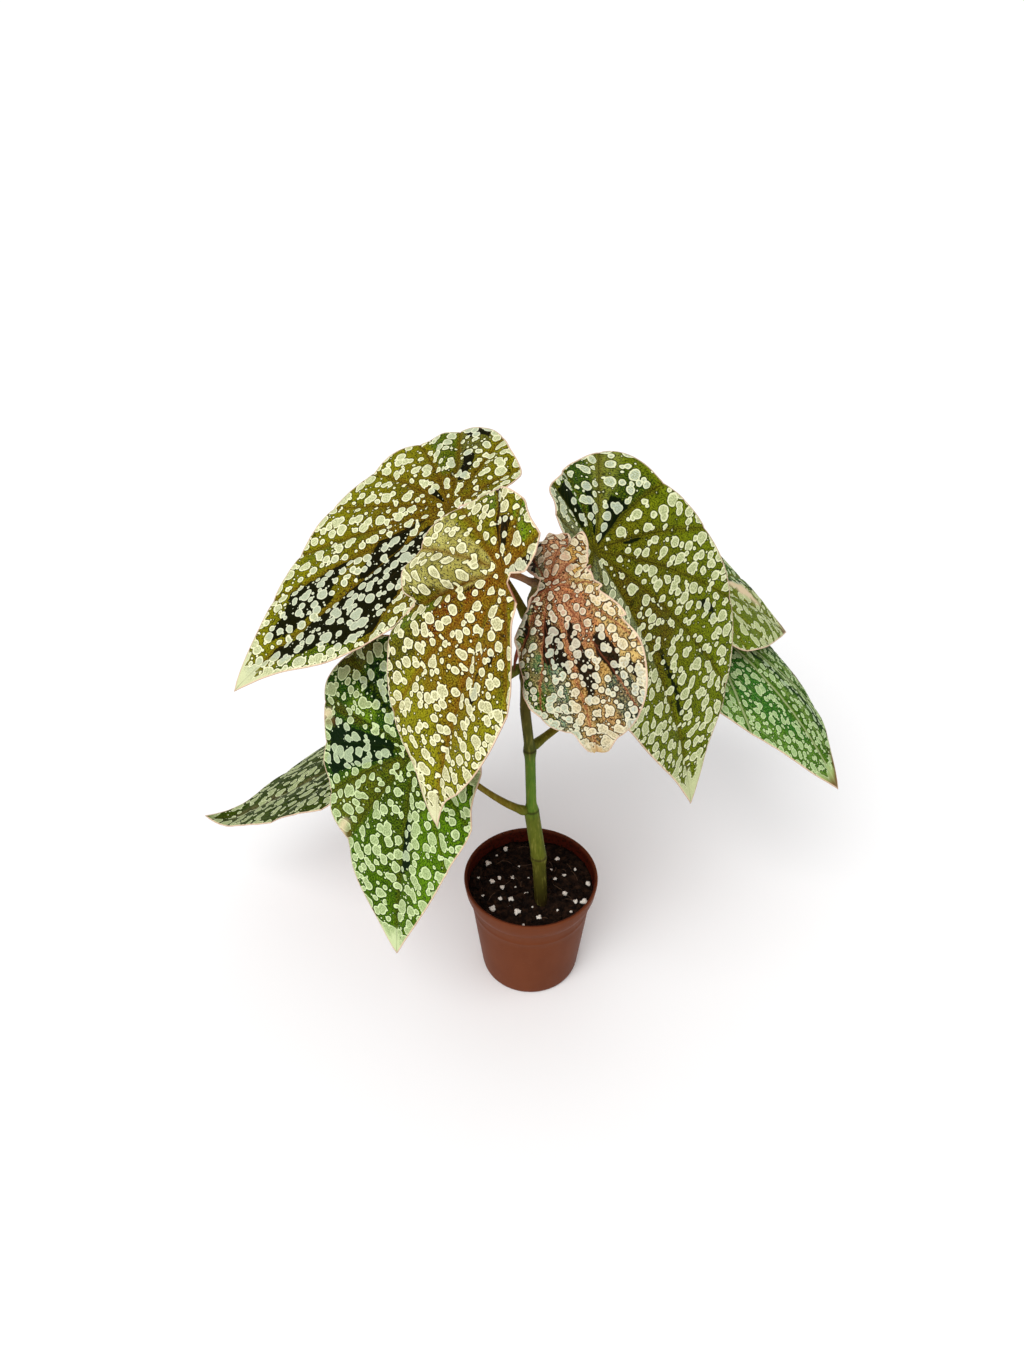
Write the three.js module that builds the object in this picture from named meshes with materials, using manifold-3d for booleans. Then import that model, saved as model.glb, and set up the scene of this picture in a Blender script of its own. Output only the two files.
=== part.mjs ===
// Potted polka dot begonia: a young cane plant with eight asymmetric, pale-spotted leaves in a 60 mm nursery pot.
// Millimetres, +Z up. The origin is the centre of the pot's underside, -Y is the front, +X is the front view's right.
import * as THREE from 'three';
import { mergeVertices } from 'three/addons/utils/BufferGeometryUtils.js';
import Module from 'manifold-3d';

const wasm = await Module();
wasm.setup();

// Clearance between neighbouring solids
const GAP = 0.3;

// Pot: thin injection-moulded shell, collar on top, one faint hoop, six drain holes
const POT = {
  height: 56,
  rimRadius: 30,
  wall: 0.9,
  floor: 1.1,
  segments: 40,
  drainCount: 6,
  drainRadius: 2.5,
  drainCircle: 13,
};
// Outer side as [radius, height], from the underside up to the rim
const POT_SIDE = [
  [20.8, 0], [21.6, 0.5], [22.2, 1.6], [22.6, 4], [26.5, 39.5], [26.68, 40.1], [26.74, 41.2], [26.72, 41.8],
  [27.2, 45], [27.8, 46.5], [29.0, 49], [29.6, 52],
];
const POT_LIP = [[30, 55.4], [29.7, 56], [29.0, 56], [28.7, 55.4]];

// Potting mix: lumpy surface below the rim, with white perlite grains pressed into it
const SOIL = { level: 49.6, lump: 0.7, mound: 1.2, moundRadius: 11, segments: 40, rings: [5, 10, 15, 20, 24.5] };
// Perlite grains as [x, y, radius]
const GRAINS = [
  [-11.5, 22, 1.5], [-19.5, 12.5, 1.7], [-17.5, 1.5, 1.5], [-14.2, 3.8, 1.2], [-8.4, 3.6, 1.2], [-13, -2, 1.4],
  [-13.8, -9, 1.2], [-8.8, -9, 1.5], [-17, -14, 1.7], [-6.2, -16.5, 2.0], [-2, -6, 1.2], [3.4, -19.4, 1.5],
  [-10.2, -24.4, 1.3], [15.3, -5.6, 1.7], [19.8, -10, 1.5], [23.4, -10.8, 2.0], [15.2, 4.9, 1.2], [11, 3, 1.1],
  [25.8, 0, 1.4], [12.6, 15.2, 1.3],
];

// Cane: a zigzag row of swollen nodes. Each row is [x, y, z, node radius, radius of the stretch above it]
const CANE = [
  [4.2, -11.4, 24, 2.7, 2.7],
  [4.4, -10.5, 50, 2.75, 2.9],
  [3.1, -8.0, 76, 3.55, 3.2],
  [-0.3, -4.0, 100, 3.2, 2.2],
  [-1.2, 0.0, 130, 2.8, 2.1],
  [-3.4, 0.0, 152, 2.1, 2.0],
  [-3.2, 0.4, 168, 2.6, 2.0],
  [-2.2, 0.8, 181, 2.5, 2.0],
  [-1.2, 0.4, 193, 2.4, 1.9],
  [-0.8, -0.8, 204, 2.3, 1.7],
  [0.8, -3.0, 213, 2.1, 1.6],
  [2.2, -5.6, 220, 1.9, 1.3],
];
const CANE_TIP = { point: [3.2, -8.0, 227], radius: 0.5 };
const CANE_SIDES = 10;
const NODE_HALF = 1.1;
const NODE_EASE = 4.0;

// Leaf stalks: radius at the cane and at the blade, and how far above its node's ring a stalk leaves the cane
const STALK = { rootRadius: 1.75, endRadius: 1.25, aboveNode: 1.6, sides: 8, steps: 12 };

// Withered bract hanging at the left of a node
const BRACT = { root: [-5.5, -0.6, 183], tip: [-7.8, -1.6, 171], width: 1.9 };

// Blade shared by all leaves: thickness, the small reach across the notch behind the stalk joint,
// and the shares of each side's span at which the reaches below are given
const BLADE = {
  thickness: 0.7,
  notchReach: 4.5,
  bigShares: [0.038, 0.094, 0.17, 0.264, 0.377, 0.5, 0.632, 0.764, 0.877],
  smallShares: [0.06, 0.15, 0.27, 0.42, 0.59, 0.77],
  lastShare: 0.966,
  lastFall: 0.62,
  rings: [0.15, 0.36, 0.58, 0.79, 1],
};
// Spokes of the blade mesh, as shares of each side's span
const BIG_SPOKES = [
  0.02, 0.045, 0.08, 0.13, 0.17, 0.22, 0.27, 0.32, 0.37, 0.42, 0.475, 0.53, 0.58, 0.635, 0.69, 0.74, 0.79, 0.84,
  0.89, 0.93, 0.966, 1,
];
const SMALL_SPOKES = [0.03, 0.07, 0.13, 0.2, 0.27, 0.34, 0.41, 0.48, 0.555, 0.63, 0.705, 0.78, 0.85, 0.92, 1];

// Leaves, oldest position in the crown first. Angles are in degrees, lengths in millimetres.
// joint: where the stalk meets the blade. hand: 1 when the big side is on the left, seen from above with the tip away.
// heading: direction of the tip, counterclockwise from +X. pitch: tip down. roll: left side down.
// big, small: reach of the edge from the joint at the shares above, starting next to the tip. bigShares: own shares.
// fold: drop of each side at the midrib. curl: further bend of each side over half a length.
// arch: downward bend of the midrib in front, behind and at the tip. sweep: sideways bend of the tip per length.
// quilt: rise of the panels between the veins. wave: [height, count, phase] of the edge. veins: by side.
// pleats: [angle, height, half-width] of long creases. node: which cane row carries it. rise: lift of the stalk.
// seat: how far inside the node's radius the stalk starts, where the cane is slimmer or leans away.
const LEAVES = [
  {
    name: 'leaf_1', node: 8, joint: [-32.2, 34.7, 222.2], hand: -1, heading: 204, pitch: 31.5, roll: 5,
    length: 110.5, bigSpan: 222, big: [91, 76, 63, 52, 46, 44, 43, 33, 30],
    smallSpan: 122, small: [91, 76, 58.5, 45, 38, 36],
    fold: [-6.5, -2], curl: [8, 8], arch: [1.5, 20, 11], sweep: 0.015,
    quilt: 1.0, wave: [0.8, 9, 20], pleats: [[113, 1.6, 10]],
    bigVeins: [16, 30, 49, 72, 99, 122, 150, 185], smallVeins: [27, 62, 98], rise: 10, seat: -0.1,
  },
  {
    name: 'leaf_2', node: 10, joint: [-11.4, -38.4, 239.2], hand: -1, heading: -142, pitch: 61.5, roll: -13,
    length: 98.5, bigSpan: 254, big: [79.5, 73.5, 58.5, 42.5, 39.5, 33.5, 24.5, 19.5, 18.5],
    smallSpan: 66, small: [84, 76.5, 66, 53.5, 41, 19],
    fold: [-20.5, 4], curl: [13.5, 8], arch: [12.5, 12.5, 16], sweep: 0,
    quilt: 0.9, wave: [0.6, 8, 70], pleats: [[60, 2.6, 11], [42, -1.6, 9]],
    bigVeins: [24, 50, 77, 102, 128, 158, 205], smallVeins: [34, 62], rise: 2, seat: 0,
  },
  {
    name: 'leaf_3', node: 11, joint: [3.8, -36.6, 232.4], hand: 1, heading: -81, pitch: 9.5, roll: -20,
    length: 68, bigSpan: 212, big: [57, 51.5, 40, 23, 15, 15, 23, 28, 27],
    smallSpan: 108, small: [54.5, 49.5, 39.5, 24, 15, 7],
    fold: [-18, 14], curl: [18, 24], arch: [76, 12, 64], sweep: -0.05,
    quilt: 0.8, wave: [1.1, 13, 40], pleats: [[112, -2.0, 9], [145, 1.5, 9]],
    bigVeins: [19, 38, 62, 95, 128, 160, 190], smallVeins: [20, 42, 75], rise: 2, seat: 0,
  },
  {
    name: 'leaf_4', node: 9, joint: [20.8, 2.6, 222.2], hand: 1, heading: -12, pitch: 54.5, roll: 5.5,
    length: 121.5, bigSpan: 236, big: [103, 94, 80, 60.5, 50.5, 56, 43.5, 31.5, 26],
    bigShares: [0.038, 0.094, 0.17, 0.264, 0.355, 0.425, 0.5, 0.6, 0.75],
    smallSpan: 108, small: [101.5, 83, 65, 51.5, 43, 36],
    fold: [-32, 22], curl: [-3, 4], arch: [21, 15, 3.5], sweep: -0.017,
    quilt: 1.0, wave: [0.8, 8, 10], pleats: [],
    bigVeins: [22, 42, 62, 83, 105, 128, 155, 197], smallVeins: [27, 60, 92], rise: 4, seat: 0,
  },
  {
    name: 'leaf_5', node: 3, joint: [-44.8, -23.9, 150.1], hand: -1, heading: -119.5, pitch: 67.5, roll: -4,
    length: 95, bigSpan: 210, big: [79.5, 67.5, 58, 52, 50, 53, 50, 42.5, 36.5],
    smallSpan: 134, small: [75, 57.5, 45.2, 38.5, 32.7, 29],
    fold: [-1.5, -13.5], curl: [14, 12], arch: [11, 20, 4.5], sweep: 0,
    quilt: 1.0, wave: [0.9, 8, 0], pleats: [[41, 1.6, 9], [56, -1.8, 9], [28, -1.2, 7]],
    bigVeins: [30, 50, 73, 92, 120, 150, 185], smallVeins: [32, 60, 95], rise: 0, seat: 0.6,
  },
  {
    name: 'leaf_6', node: 6, joint: [-61.7, 33.5, 108.1], hand: -1, heading: 177, pitch: 35, roll: -17,
    length: 112, bigSpan: 212, big: [92.5, 83, 76, 64, 57.5, 53, 49, 44, 38],
    smallSpan: 132, small: [91.5, 73.5, 59, 49.5, 43.5, 38],
    fold: [-10, -2.5], curl: [21.5, 15], arch: [-1, -20, -44], sweep: 0.01,
    quilt: 0.9, wave: [0.6, 8, 45], pleats: [],
    bigVeins: [20, 44, 70, 96, 124, 154, 190], smallVeins: [28, 60, 95], rise: -12, seat: -0.1,
  },
  {
    name: 'leaf_7', node: 7, joint: [67.9, 57.9, 175.3], hand: 1, heading: 31, pitch: 29.5, roll: -17.5,
    length: 87.5, bigSpan: 212, big: [67, 60.5, 52.5, 47.5, 45, 43, 41, 38, 33],
    smallSpan: 132, small: [71, 56.5, 46.5, 39.5, 34.5, 29.5],
    fold: [-7.5, 1], curl: [15, 16], arch: [16, 20, -3], sweep: 0.004,
    quilt: 0.8, wave: [0.6, 8, 80], pleats: [],
    bigVeins: [20, 44, 70, 96, 124, 154, 190], smallVeins: [28, 60, 95], rise: 12, seat: 0,
  },
  {
    name: 'leaf_8', node: 4, joint: [74.1, 61.8, 152], hand: 1, heading: -34.5, pitch: 20.5, roll: 2,
    length: 99, bigSpan: 214, big: [81.5, 73, 64, 61, 60, 53.5, 48.5, 43.5, 38],
    smallSpan: 131, small: [83.5, 65, 52, 42.5, 38, 34.5],
    fold: [3, 5], curl: [45, 14], arch: [30, 20, 5], sweep: 0.01,
    quilt: 0.9, wave: [0.7, 8, 30], pleats: [],
    bigVeins: [20, 44, 70, 96, 124, 154, 190], smallVeins: [28, 60, 95], rise: 3, seat: 0.4,
  },
];

const radians = (degrees) => (degrees * Math.PI) / 180;
const clamp01 = (value) => Math.min(1, Math.max(0, value));
const smoothstep = (low, high, value) => {
  const share = clamp01((value - low) / (high - low));
  return share * share * (3 - 2 * share);
};
const bump = (value, centre, halfWidth) => 1 - smoothstep(0, halfWidth, Math.abs(value - centre));

// Monotone cubic through the given points, so that the leaf edge never overshoots its stations
function monotoneCurve(xs, ys) {
  const count = xs.length;
  const slopes = [];
  for (let i = 0; i < count - 1; i += 1) {
    slopes.push((ys[i + 1] - ys[i]) / (xs[i + 1] - xs[i]));
  }
  const tangents = [slopes[0]];
  for (let i = 1; i < count - 1; i += 1) {
    const flat = slopes[i - 1] * slopes[i] <= 0;
    tangents.push(flat ? 0 : (2 * slopes[i - 1] * slopes[i]) / (slopes[i - 1] + slopes[i]));
  }
  tangents.push(slopes[count - 2]);
  return (x) => {
    let i = 0;
    while (i < count - 2 && x > xs[i + 1]) {
      i += 1;
    }
    const step = xs[i + 1] - xs[i];
    const u = clamp01((x - xs[i]) / step);
    const square = u * u;
    const cube = square * u;
    return (
      (2 * cube - 3 * square + 1) * ys[i] + (cube - 2 * square + u) * step * tangents[i]
      + (3 * square - 2 * cube) * ys[i + 1] + (cube - square) * step * tangents[i + 1]
    );
  };
}

// Edge of one side as a function of the angle from the midrib. The inverse of the reach is interpolated,
// which keeps the edges next to the drip tip nearly straight.
function sideEdge(leaf, reaches, shares, span) {
  const last = reaches[reaches.length - 1] * BLADE.lastFall;
  const angles = [0, ...shares.map((share) => share * span), BLADE.lastShare * span, span];
  const inverse = [leaf.length, ...reaches, last, BLADE.notchReach].map((reach) => 1 / reach);
  const curve = monotoneCurve(angles, inverse);
  return (angle) => 1 / curve(angle);
}

// Rise of the blade from its bent mid-surface, at an angle from the midrib and a share of the reach
function relief(leaf, angle, share, isBig) {
  const veins = [0, ...(isBig ? leaf.bigVeins : leaf.smallVeins), isBig ? leaf.bigSpan : leaf.smallSpan];
  let panel = 0;
  for (let i = 0; i < veins.length - 1; i += 1) {
    if (angle >= veins[i] && angle <= veins[i + 1]) {
      const across = (angle - veins[i]) / (veins[i + 1] - veins[i]);
      panel = 4 * across * (1 - across);
    }
  }
  const body = smoothstep(0.08, 0.5, share);
  let height = leaf.quilt * (panel - 0.5) * body;
  const [waveHeight, waveCount, wavePhase] = leaf.wave;
  const round = isBig ? angle : -angle;
  const side = smoothstep(4, 30, angle);
  height += waveHeight * side * share ** 3 * Math.sin(radians(waveCount * round + wavePhase));
  if (isBig) {
    for (const [centre, rise, halfWidth] of leaf.pleats) {
      height += rise * bump(angle, centre, halfWidth) * smoothstep(0.1, 0.7, share);
    }
  }
  return height;
}

// Forward and upward travel along an arc that starts tilted down by start and bends by rate per millimetre
function arc(start, rate, distance) {
  const safe = Math.abs(rate) < 1e-7 ? 1e-7 : rate;
  return [
    (Math.sin(start + safe * distance) - Math.sin(start)) / safe,
    (Math.cos(start + safe * distance) - Math.cos(start)) / safe,
  ];
}

// Point of the bent blade for flat coordinates: x along the midrib, y towards the big side, lift off the surface
function bentPoint(leaf, x, y, lift) {
  const { length } = leaf;
  const front = radians(leaf.arch[0]) / (0.8 * length);
  const back = radians(leaf.arch[1]) / (0.45 * length);
  const tip = radians(leaf.arch[2]) / (0.2 * length);
  const bodyX = Math.min(x, 0.8 * length);
  const tipX = Math.max(0, x - 0.8 * length);
  let along;
  let up;
  let tilt;
  if (x < 0) {
    const [travel, fall] = arc(0, back, -x);
    along = -travel;
    up = fall;
    tilt = back * x;
  } else {
    const [bodyTravel, bodyFall] = arc(0, front, bodyX);
    const [tipTravel, tipFall] = arc(front * 0.8 * length, tip, tipX);
    along = bodyTravel + tipTravel;
    up = bodyFall + tipFall;
    tilt = front * bodyX + tip * tipX;
  }
  const fade = smoothstep(-0.22 * length, 0.12 * length, x);
  const sideIndex = y > 0 ? 0 : 1;
  const fold = radians(leaf.fold[sideIndex]) * fade;
  const curl = radians(leaf.curl[sideIndex]) / (0.5 * length);
  const [sideways, drop] = arc(fold, curl, Math.abs(y));
  const localTilt = fold + curl * Math.abs(y);
  const sign = y > 0 ? 1 : -1;
  const inPlane = -drop - lift * Math.cos(localTilt);
  const px = along - inPlane * Math.sin(tilt);
  const pz = up - inPlane * Math.cos(tilt);
  const across = sideways + lift * Math.sin(localTilt);
  const py = sign * across + leaf.sweep * length * clamp01(x / length) ** 2;
  return [px, py, pz];
}

// Bent point turned by roll, pitch and heading, and moved to the stalk joint
function placedPoint(leaf, x, y, lift) {
  const [px, pyBig, pz] = bentPoint(leaf, x, y, lift);
  const py = pyBig * leaf.hand;
  const roll = radians(leaf.roll);
  const pitch = radians(leaf.pitch);
  const heading = radians(leaf.heading);
  const y1 = Math.cos(roll) * py + Math.sin(roll) * pz;
  const z1 = -Math.sin(roll) * py + Math.cos(roll) * pz;
  const x2 = Math.cos(pitch) * px + Math.sin(pitch) * z1;
  const z2 = -Math.sin(pitch) * px + Math.cos(pitch) * z1;
  return new THREE.Vector3(
    Math.cos(heading) * x2 - Math.sin(heading) * y1 + leaf.joint[0],
    Math.sin(heading) * x2 + Math.cos(heading) * y1 + leaf.joint[1],
    z2 + leaf.joint[2],
  );
}

// Upward direction of the blade at the stalk joint
function jointNormal(leaf) {
  return placedPoint(leaf, 0, 0, 1).sub(placedPoint(leaf, 0, 0, 0)).normalize();
}

function closedGeometry(positions, indices) {
  const geometry = new THREE.BufferGeometry();
  geometry.setAttribute('position', new THREE.Float32BufferAttribute(positions, 3));
  geometry.setIndex(indices);
  geometry.computeVertexNormals();
  return geometry;
}

// One blade: a fan of spokes round the stalk joint, the same triangles on both faces, closed along the edge
function bladeGeometry(leaf) {
  const bigEdge = sideEdge(leaf, leaf.big, leaf.bigShares ?? BLADE.bigShares, leaf.bigSpan);
  const smallEdge = sideEdge(leaf, leaf.small, BLADE.smallShares, leaf.smallSpan);
  const spokes = [{ turn: 0, reach: leaf.length, angle: 0, isBig: true }];
  for (const share of BIG_SPOKES) {
    const angle = share * leaf.bigSpan;
    spokes.push({ turn: angle, reach: bigEdge(angle), angle, isBig: true });
  }
  const notchTurn = (leaf.bigSpan + 360 - leaf.smallSpan) / 2;
  spokes.push({ turn: notchTurn, reach: BLADE.notchReach * 0.9, angle: leaf.bigSpan, isBig: true });
  for (const share of [...SMALL_SPOKES].reverse()) {
    const angle = share * leaf.smallSpan;
    spokes.push({ turn: 360 - angle, reach: smallEdge(angle), angle, isBig: false });
  }
  const middle = [placedPoint(leaf, 0, 0, 0)];
  for (const share of BLADE.rings) {
    for (const spoke of spokes) {
      const radius = spoke.reach * share;
      const x = radius * Math.cos(radians(spoke.turn));
      const y = radius * Math.sin(radians(spoke.turn));
      const clear = smoothstep(4, 10, radius);
      middle.push(placedPoint(leaf, x, y, clear * relief(leaf, spoke.angle, share, spoke.isBig)));
    }
  }
  const count = spokes.length;
  const faces = [];
  for (let s = 0; s < count; s += 1) {
    const next = (s + 1) % count;
    faces.push([0, 1 + s, 1 + next]);
    for (let ring = 1; ring < BLADE.rings.length; ring += 1) {
      const inner = 1 + (ring - 1) * count;
      const outer = 1 + ring * count;
      if ((s + ring) % 2 === 0) {
        faces.push([inner + s, outer + s, outer + next], [inner + s, outer + next, inner + next]);
      } else {
        faces.push([inner + s, outer + s, inner + next], [inner + next, outer + s, outer + next]);
      }
    }
  }
  // The big side is the left one when hand is 1, so these faces point up; a mirrored leaf turns them over
  const upFaces = leaf.hand > 0 ? faces : faces.map(([a, b, c]) => [a, c, b]);
  const normals = middle.map(() => new THREE.Vector3());
  for (const [a, b, c] of upFaces) {
    const first = middle[b].clone().sub(middle[a]);
    const second = middle[c].clone().sub(middle[a]);
    const normal = first.cross(second);
    for (const corner of [a, b, c]) {
      normals[corner].add(normal);
    }
  }
  const half = BLADE.thickness / 2;
  const positions = [];
  for (const side of [1, -1]) {
    middle.forEach((point, i) => {
      const moved = point.clone().addScaledVector(normals[i].normalize(), side * half);
      positions.push(moved.x, moved.y, moved.z);
    });
  }
  const shift = middle.length;
  const indices = [];
  for (const [a, b, c] of upFaces) {
    indices.push(a, b, c, shift + a, shift + c, shift + b);
  }
  const edgeStart = 1 + (BLADE.rings.length - 1) * count;
  for (let s = 0; s < count; s += 1) {
    const here = edgeStart + s;
    const next = edgeStart + ((s + 1) % count);
    const [from, to] = leaf.hand > 0 ? [here, next] : [next, here];
    indices.push(from, shift + from, to, to, shift + from, shift + to);
  }
  return closedGeometry(positions, indices);
}

// Closed tube of changing radius: rings is a list of { centre, direction, radius }
function loftGeometry(rings, sides) {
  const positions = [];
  const indices = [];
  const reference = new THREE.Vector3(0, 1, 0.01).normalize();
  for (const { centre, direction, radius } of rings) {
    const across = reference.clone().cross(direction).normalize();
    const other = direction.clone().cross(across).normalize();
    for (let s = 0; s < sides; s += 1) {
      const turn = (2 * Math.PI * s) / sides;
      const point = centre.clone()
        .addScaledVector(across, radius * Math.cos(turn))
        .addScaledVector(other, radius * Math.sin(turn));
      positions.push(point.x, point.y, point.z);
    }
  }
  for (let ring = 0; ring < rings.length - 1; ring += 1) {
    for (let s = 0; s < sides; s += 1) {
      const next = (s + 1) % sides;
      const low = ring * sides;
      const high = low + sides;
      indices.push(low + s, low + next, high + next, low + s, high + next, high + s);
    }
  }
  const bottom = positions.length / 3;
  const first = rings[0].centre;
  const last = rings[rings.length - 1].centre;
  positions.push(first.x, first.y, first.z, last.x, last.y, last.z);
  const topStart = (rings.length - 1) * sides;
  for (let s = 0; s < sides; s += 1) {
    const next = (s + 1) % sides;
    indices.push(bottom, next, s, bottom + 1, topStart + s, topStart + next);
  }
  return closedGeometry(positions, indices);
}

function toSolid(geometry) {
  const bare = geometry.clone();
  bare.deleteAttribute('normal');
  bare.deleteAttribute('uv');
  const merged = mergeVertices(bare, 1e-4);
  return new wasm.Manifold(new wasm.Mesh({
    numProp: 3,
    vertProperties: new Float32Array(merged.attributes.position.array),
    triVerts: new Uint32Array(merged.index.array),
  }));
}

function toGeometry(solid) {
  const mesh = solid.getMesh();
  return closedGeometry(Array.from(mesh.vertProperties), Array.from(mesh.triVerts));
}

// A LatheGeometry turns about Y, so it is stood up on Z
function standUp(geometry) {
  return geometry.rotateX(Math.PI / 2);
}

// Inner radius of the pot at a height
function innerRadius(height) {
  const side = [...POT_SIDE, [POT_LIP[0][0], POT_LIP[0][1]]];
  for (let i = 0; i < side.length - 1; i += 1) {
    const [lowRadius, low] = side[i];
    const [highRadius, high] = side[i + 1];
    if (height >= low && height <= high) {
      return lowRadius + ((highRadius - lowRadius) * (height - low)) / (high - low) - POT.wall;
    }
  }
  return POT.rimRadius - POT.wall;
}

function potGeometry() {
  const inner = POT_SIDE.filter(([, height]) => height > POT.floor && (height < 39 || height > 44))
    .map(([radius, height]) => [radius - POT.wall, height + 0.2])
    .reverse();
  const profile = [
    [0, 0], ...POT_SIDE, ...POT_LIP, ...inner, [innerRadius(POT.floor) - 0.4, POT.floor], [0, POT.floor],
  ].map(([radius, height]) => new THREE.Vector2(radius, height));
  let shell = toSolid(standUp(new THREE.LatheGeometry(profile, POT.segments)));
  for (let i = 0; i < POT.drainCount; i += 1) {
    const turn = (2 * Math.PI * (i + 0.5)) / POT.drainCount;
    const drill = standUp(new THREE.CylinderGeometry(POT.drainRadius, POT.drainRadius, 6 * POT.floor, 12));
    drill.translate(POT.drainCircle * Math.cos(turn), POT.drainCircle * Math.sin(turn), 0);
    shell = shell.subtract(toSolid(drill));
  }
  return toGeometry(shell);
}

// Centre line of the cane
const caneCurve = new THREE.CatmullRomCurve3(
  [...CANE.map(([x, y, z]) => new THREE.Vector3(x, y, z)), new THREE.Vector3(...CANE_TIP.point)],
  false,
  'centripetal',
);

function caneAt(height) {
  let low = 0;
  let high = 1;
  for (let i = 0; i < 40; i += 1) {
    const middle = (low + high) / 2;
    if (caneCurve.getPoint(middle).z < height) {
      low = middle;
    } else {
      high = middle;
    }
  }
  const along = (low + high) / 2;
  return { centre: caneCurve.getPoint(along), direction: caneCurve.getTangent(along) };
}

// Rings of the cane: straight stretches with a swollen collar at each node
function caneRings(extra) {
  const rings = [];
  CANE.forEach(([, , z, nodeRadius, above], i) => {
    const below = i > 0 ? CANE[i - 1][4] : nodeRadius;
    const previous = i > 0 ? CANE[i - 1][2] : z;
    const next = i < CANE.length - 1 ? CANE[i + 1][2] : CANE_TIP.point[2];
    const easeBelow = Math.min(NODE_EASE, (z - previous) * 0.4);
    const easeAbove = Math.min(NODE_EASE, (next - z) * 0.4);
    if (i === 0) {
      rings.push([z, nodeRadius]);
      return;
    }
    if (i > 1) {
      rings.push([z - easeBelow, below]);
    }
    rings.push([z - NODE_HALF * 0.8, nodeRadius], [z + NODE_HALF * 0.8, nodeRadius * 0.96]);
    rings.push([z + easeAbove, above]);
  });
  rings.push([CANE_TIP.point[2] - 0.05, CANE_TIP.radius]);
  return rings.map(([z, radius]) => ({ ...caneAt(z), radius: radius + extra }));
}

// Stalk from a cane node to just under its blade
function stalkGeometry(leaf) {
  const [, , z, nodeRadius] = CANE[leaf.node];
  const node = caneAt(z + STALK.aboveNode).centre;
  const joint = new THREE.Vector3(...leaf.joint);
  const up = jointNormal(leaf);
  const chord = joint.clone().sub(node);
  const reach = chord.length();
  const outward = new THREE.Vector3(chord.x, chord.y, 0).normalize();
  const leave = chord.clone().normalize().multiplyScalar(0.85).addScaledVector(outward, 0.15).normalize();
  const rootSlope = Math.sqrt(1 - leave.dot(outward) ** 2);
  const clear = nodeRadius + GAP + STALK.rootRadius * rootSlope - leaf.seat;
  const start = node.clone().addScaledVector(outward, clear);
  const arrive = chord.clone().normalize().multiplyScalar(0.45).addScaledVector(up, 0.75).normalize();
  const endSlope = Math.sqrt(1 - arrive.dot(up) ** 2);
  const end = joint.clone()
    .addScaledVector(up, -(BLADE.thickness / 2 + GAP + STALK.endRadius * endSlope));
  const lift = new THREE.Vector3(0, 0, leaf.rise);
  const curve = new THREE.CubicBezierCurve3(
    start,
    start.clone().addScaledVector(leave, reach * 0.35).add(lift),
    end.clone().addScaledVector(arrive, -reach * 0.22),
    end,
  );
  const rings = [];
  for (let step = 0; step <= STALK.steps; step += 1) {
    const along = step / STALK.steps;
    const radius = STALK.rootRadius + (STALK.endRadius - STALK.rootRadius) * smoothstep(0, 0.35, along);
    rings.push({ centre: curve.getPoint(along), direction: curve.getTangent(along), radius });
  }
  return loftGeometry(rings, STALK.sides);
}

// Height of the soil surface
function soilHeight(x, y) {
  const [stemX, stemY] = CANE[1];
  const fromStem = Math.hypot(x - stemX, y - stemY);
  const lumps = Math.sin(0.55 * x + 0.9) * Math.cos(0.47 * y - 0.4) + 0.6 * Math.sin(0.31 * (x + y) + 1.7);
  return SOIL.level + SOIL.lump * lumps * 0.6 + SOIL.mound * bump(fromStem, 0, SOIL.moundRadius);
}

function soilGeometry() {
  const bottom = POT.floor + GAP;
  const wallHeights = [4.5, 39.2, 44.9, 46.3];
  const wallRings = [[innerRadius(2.2) - GAP - 0.6, bottom]];
  for (const height of wallHeights) {
    wallRings.push([innerRadius(height) - GAP - 0.35, height]);
  }
  const positions = [0, 0, bottom];
  const indices = [];
  const edge = innerRadius(49) - GAP - 0.2;
  const addRing = (radius, height) => {
    const start = positions.length / 3;
    for (let s = 0; s < SOIL.segments; s += 1) {
      const turn = (2 * Math.PI * s) / SOIL.segments;
      const x = radius * Math.cos(turn);
      const y = radius * Math.sin(turn);
      positions.push(x, y, height === null ? soilHeight(x, y) : height);
    }
    return start;
  };
  const starts = wallRings.map(([radius, height]) => addRing(radius, height));
  starts.push(addRing(edge, null));
  for (const radius of [...SOIL.rings].reverse()) {
    starts.push(addRing(radius, null));
  }
  const top = positions.length / 3;
  positions.push(0, 0, soilHeight(0, 0));
  for (let s = 0; s < SOIL.segments; s += 1) {
    const next = (s + 1) % SOIL.segments;
    indices.push(0, starts[0] + next, starts[0] + s);
    for (let ring = 0; ring < starts.length - 1; ring += 1) {
      const low = starts[ring];
      const high = starts[ring + 1];
      indices.push(low + s, low + next, high + next, low + s, high + next, high + s);
    }
    const last = starts[starts.length - 1];
    indices.push(last + s, last + next, top);
  }
  let solid = toSolid(closedGeometry(positions, indices));
  for (const [x, y, radius] of GRAINS) {
    const grain = new THREE.IcosahedronGeometry(radius, 0);
    grain.scale(1, 0.85, 0.8);
    grain.rotateZ(radius * 9 + x);
    grain.translate(x, y, soilHeight(x, y) + radius * 0.25);
    solid = solid.add(toSolid(grain));
  }
  const rings = caneRings(GAP + 0.1).filter((ring) => ring.centre.z < 60);
  rings.unshift({ ...rings[0], centre: rings[0].centre.clone().add(new THREE.Vector3(0, 0, -GAP - 0.2)) });
  return toGeometry(solid.subtract(toSolid(loftGeometry(rings, CANE_SIDES))));
}

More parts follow.
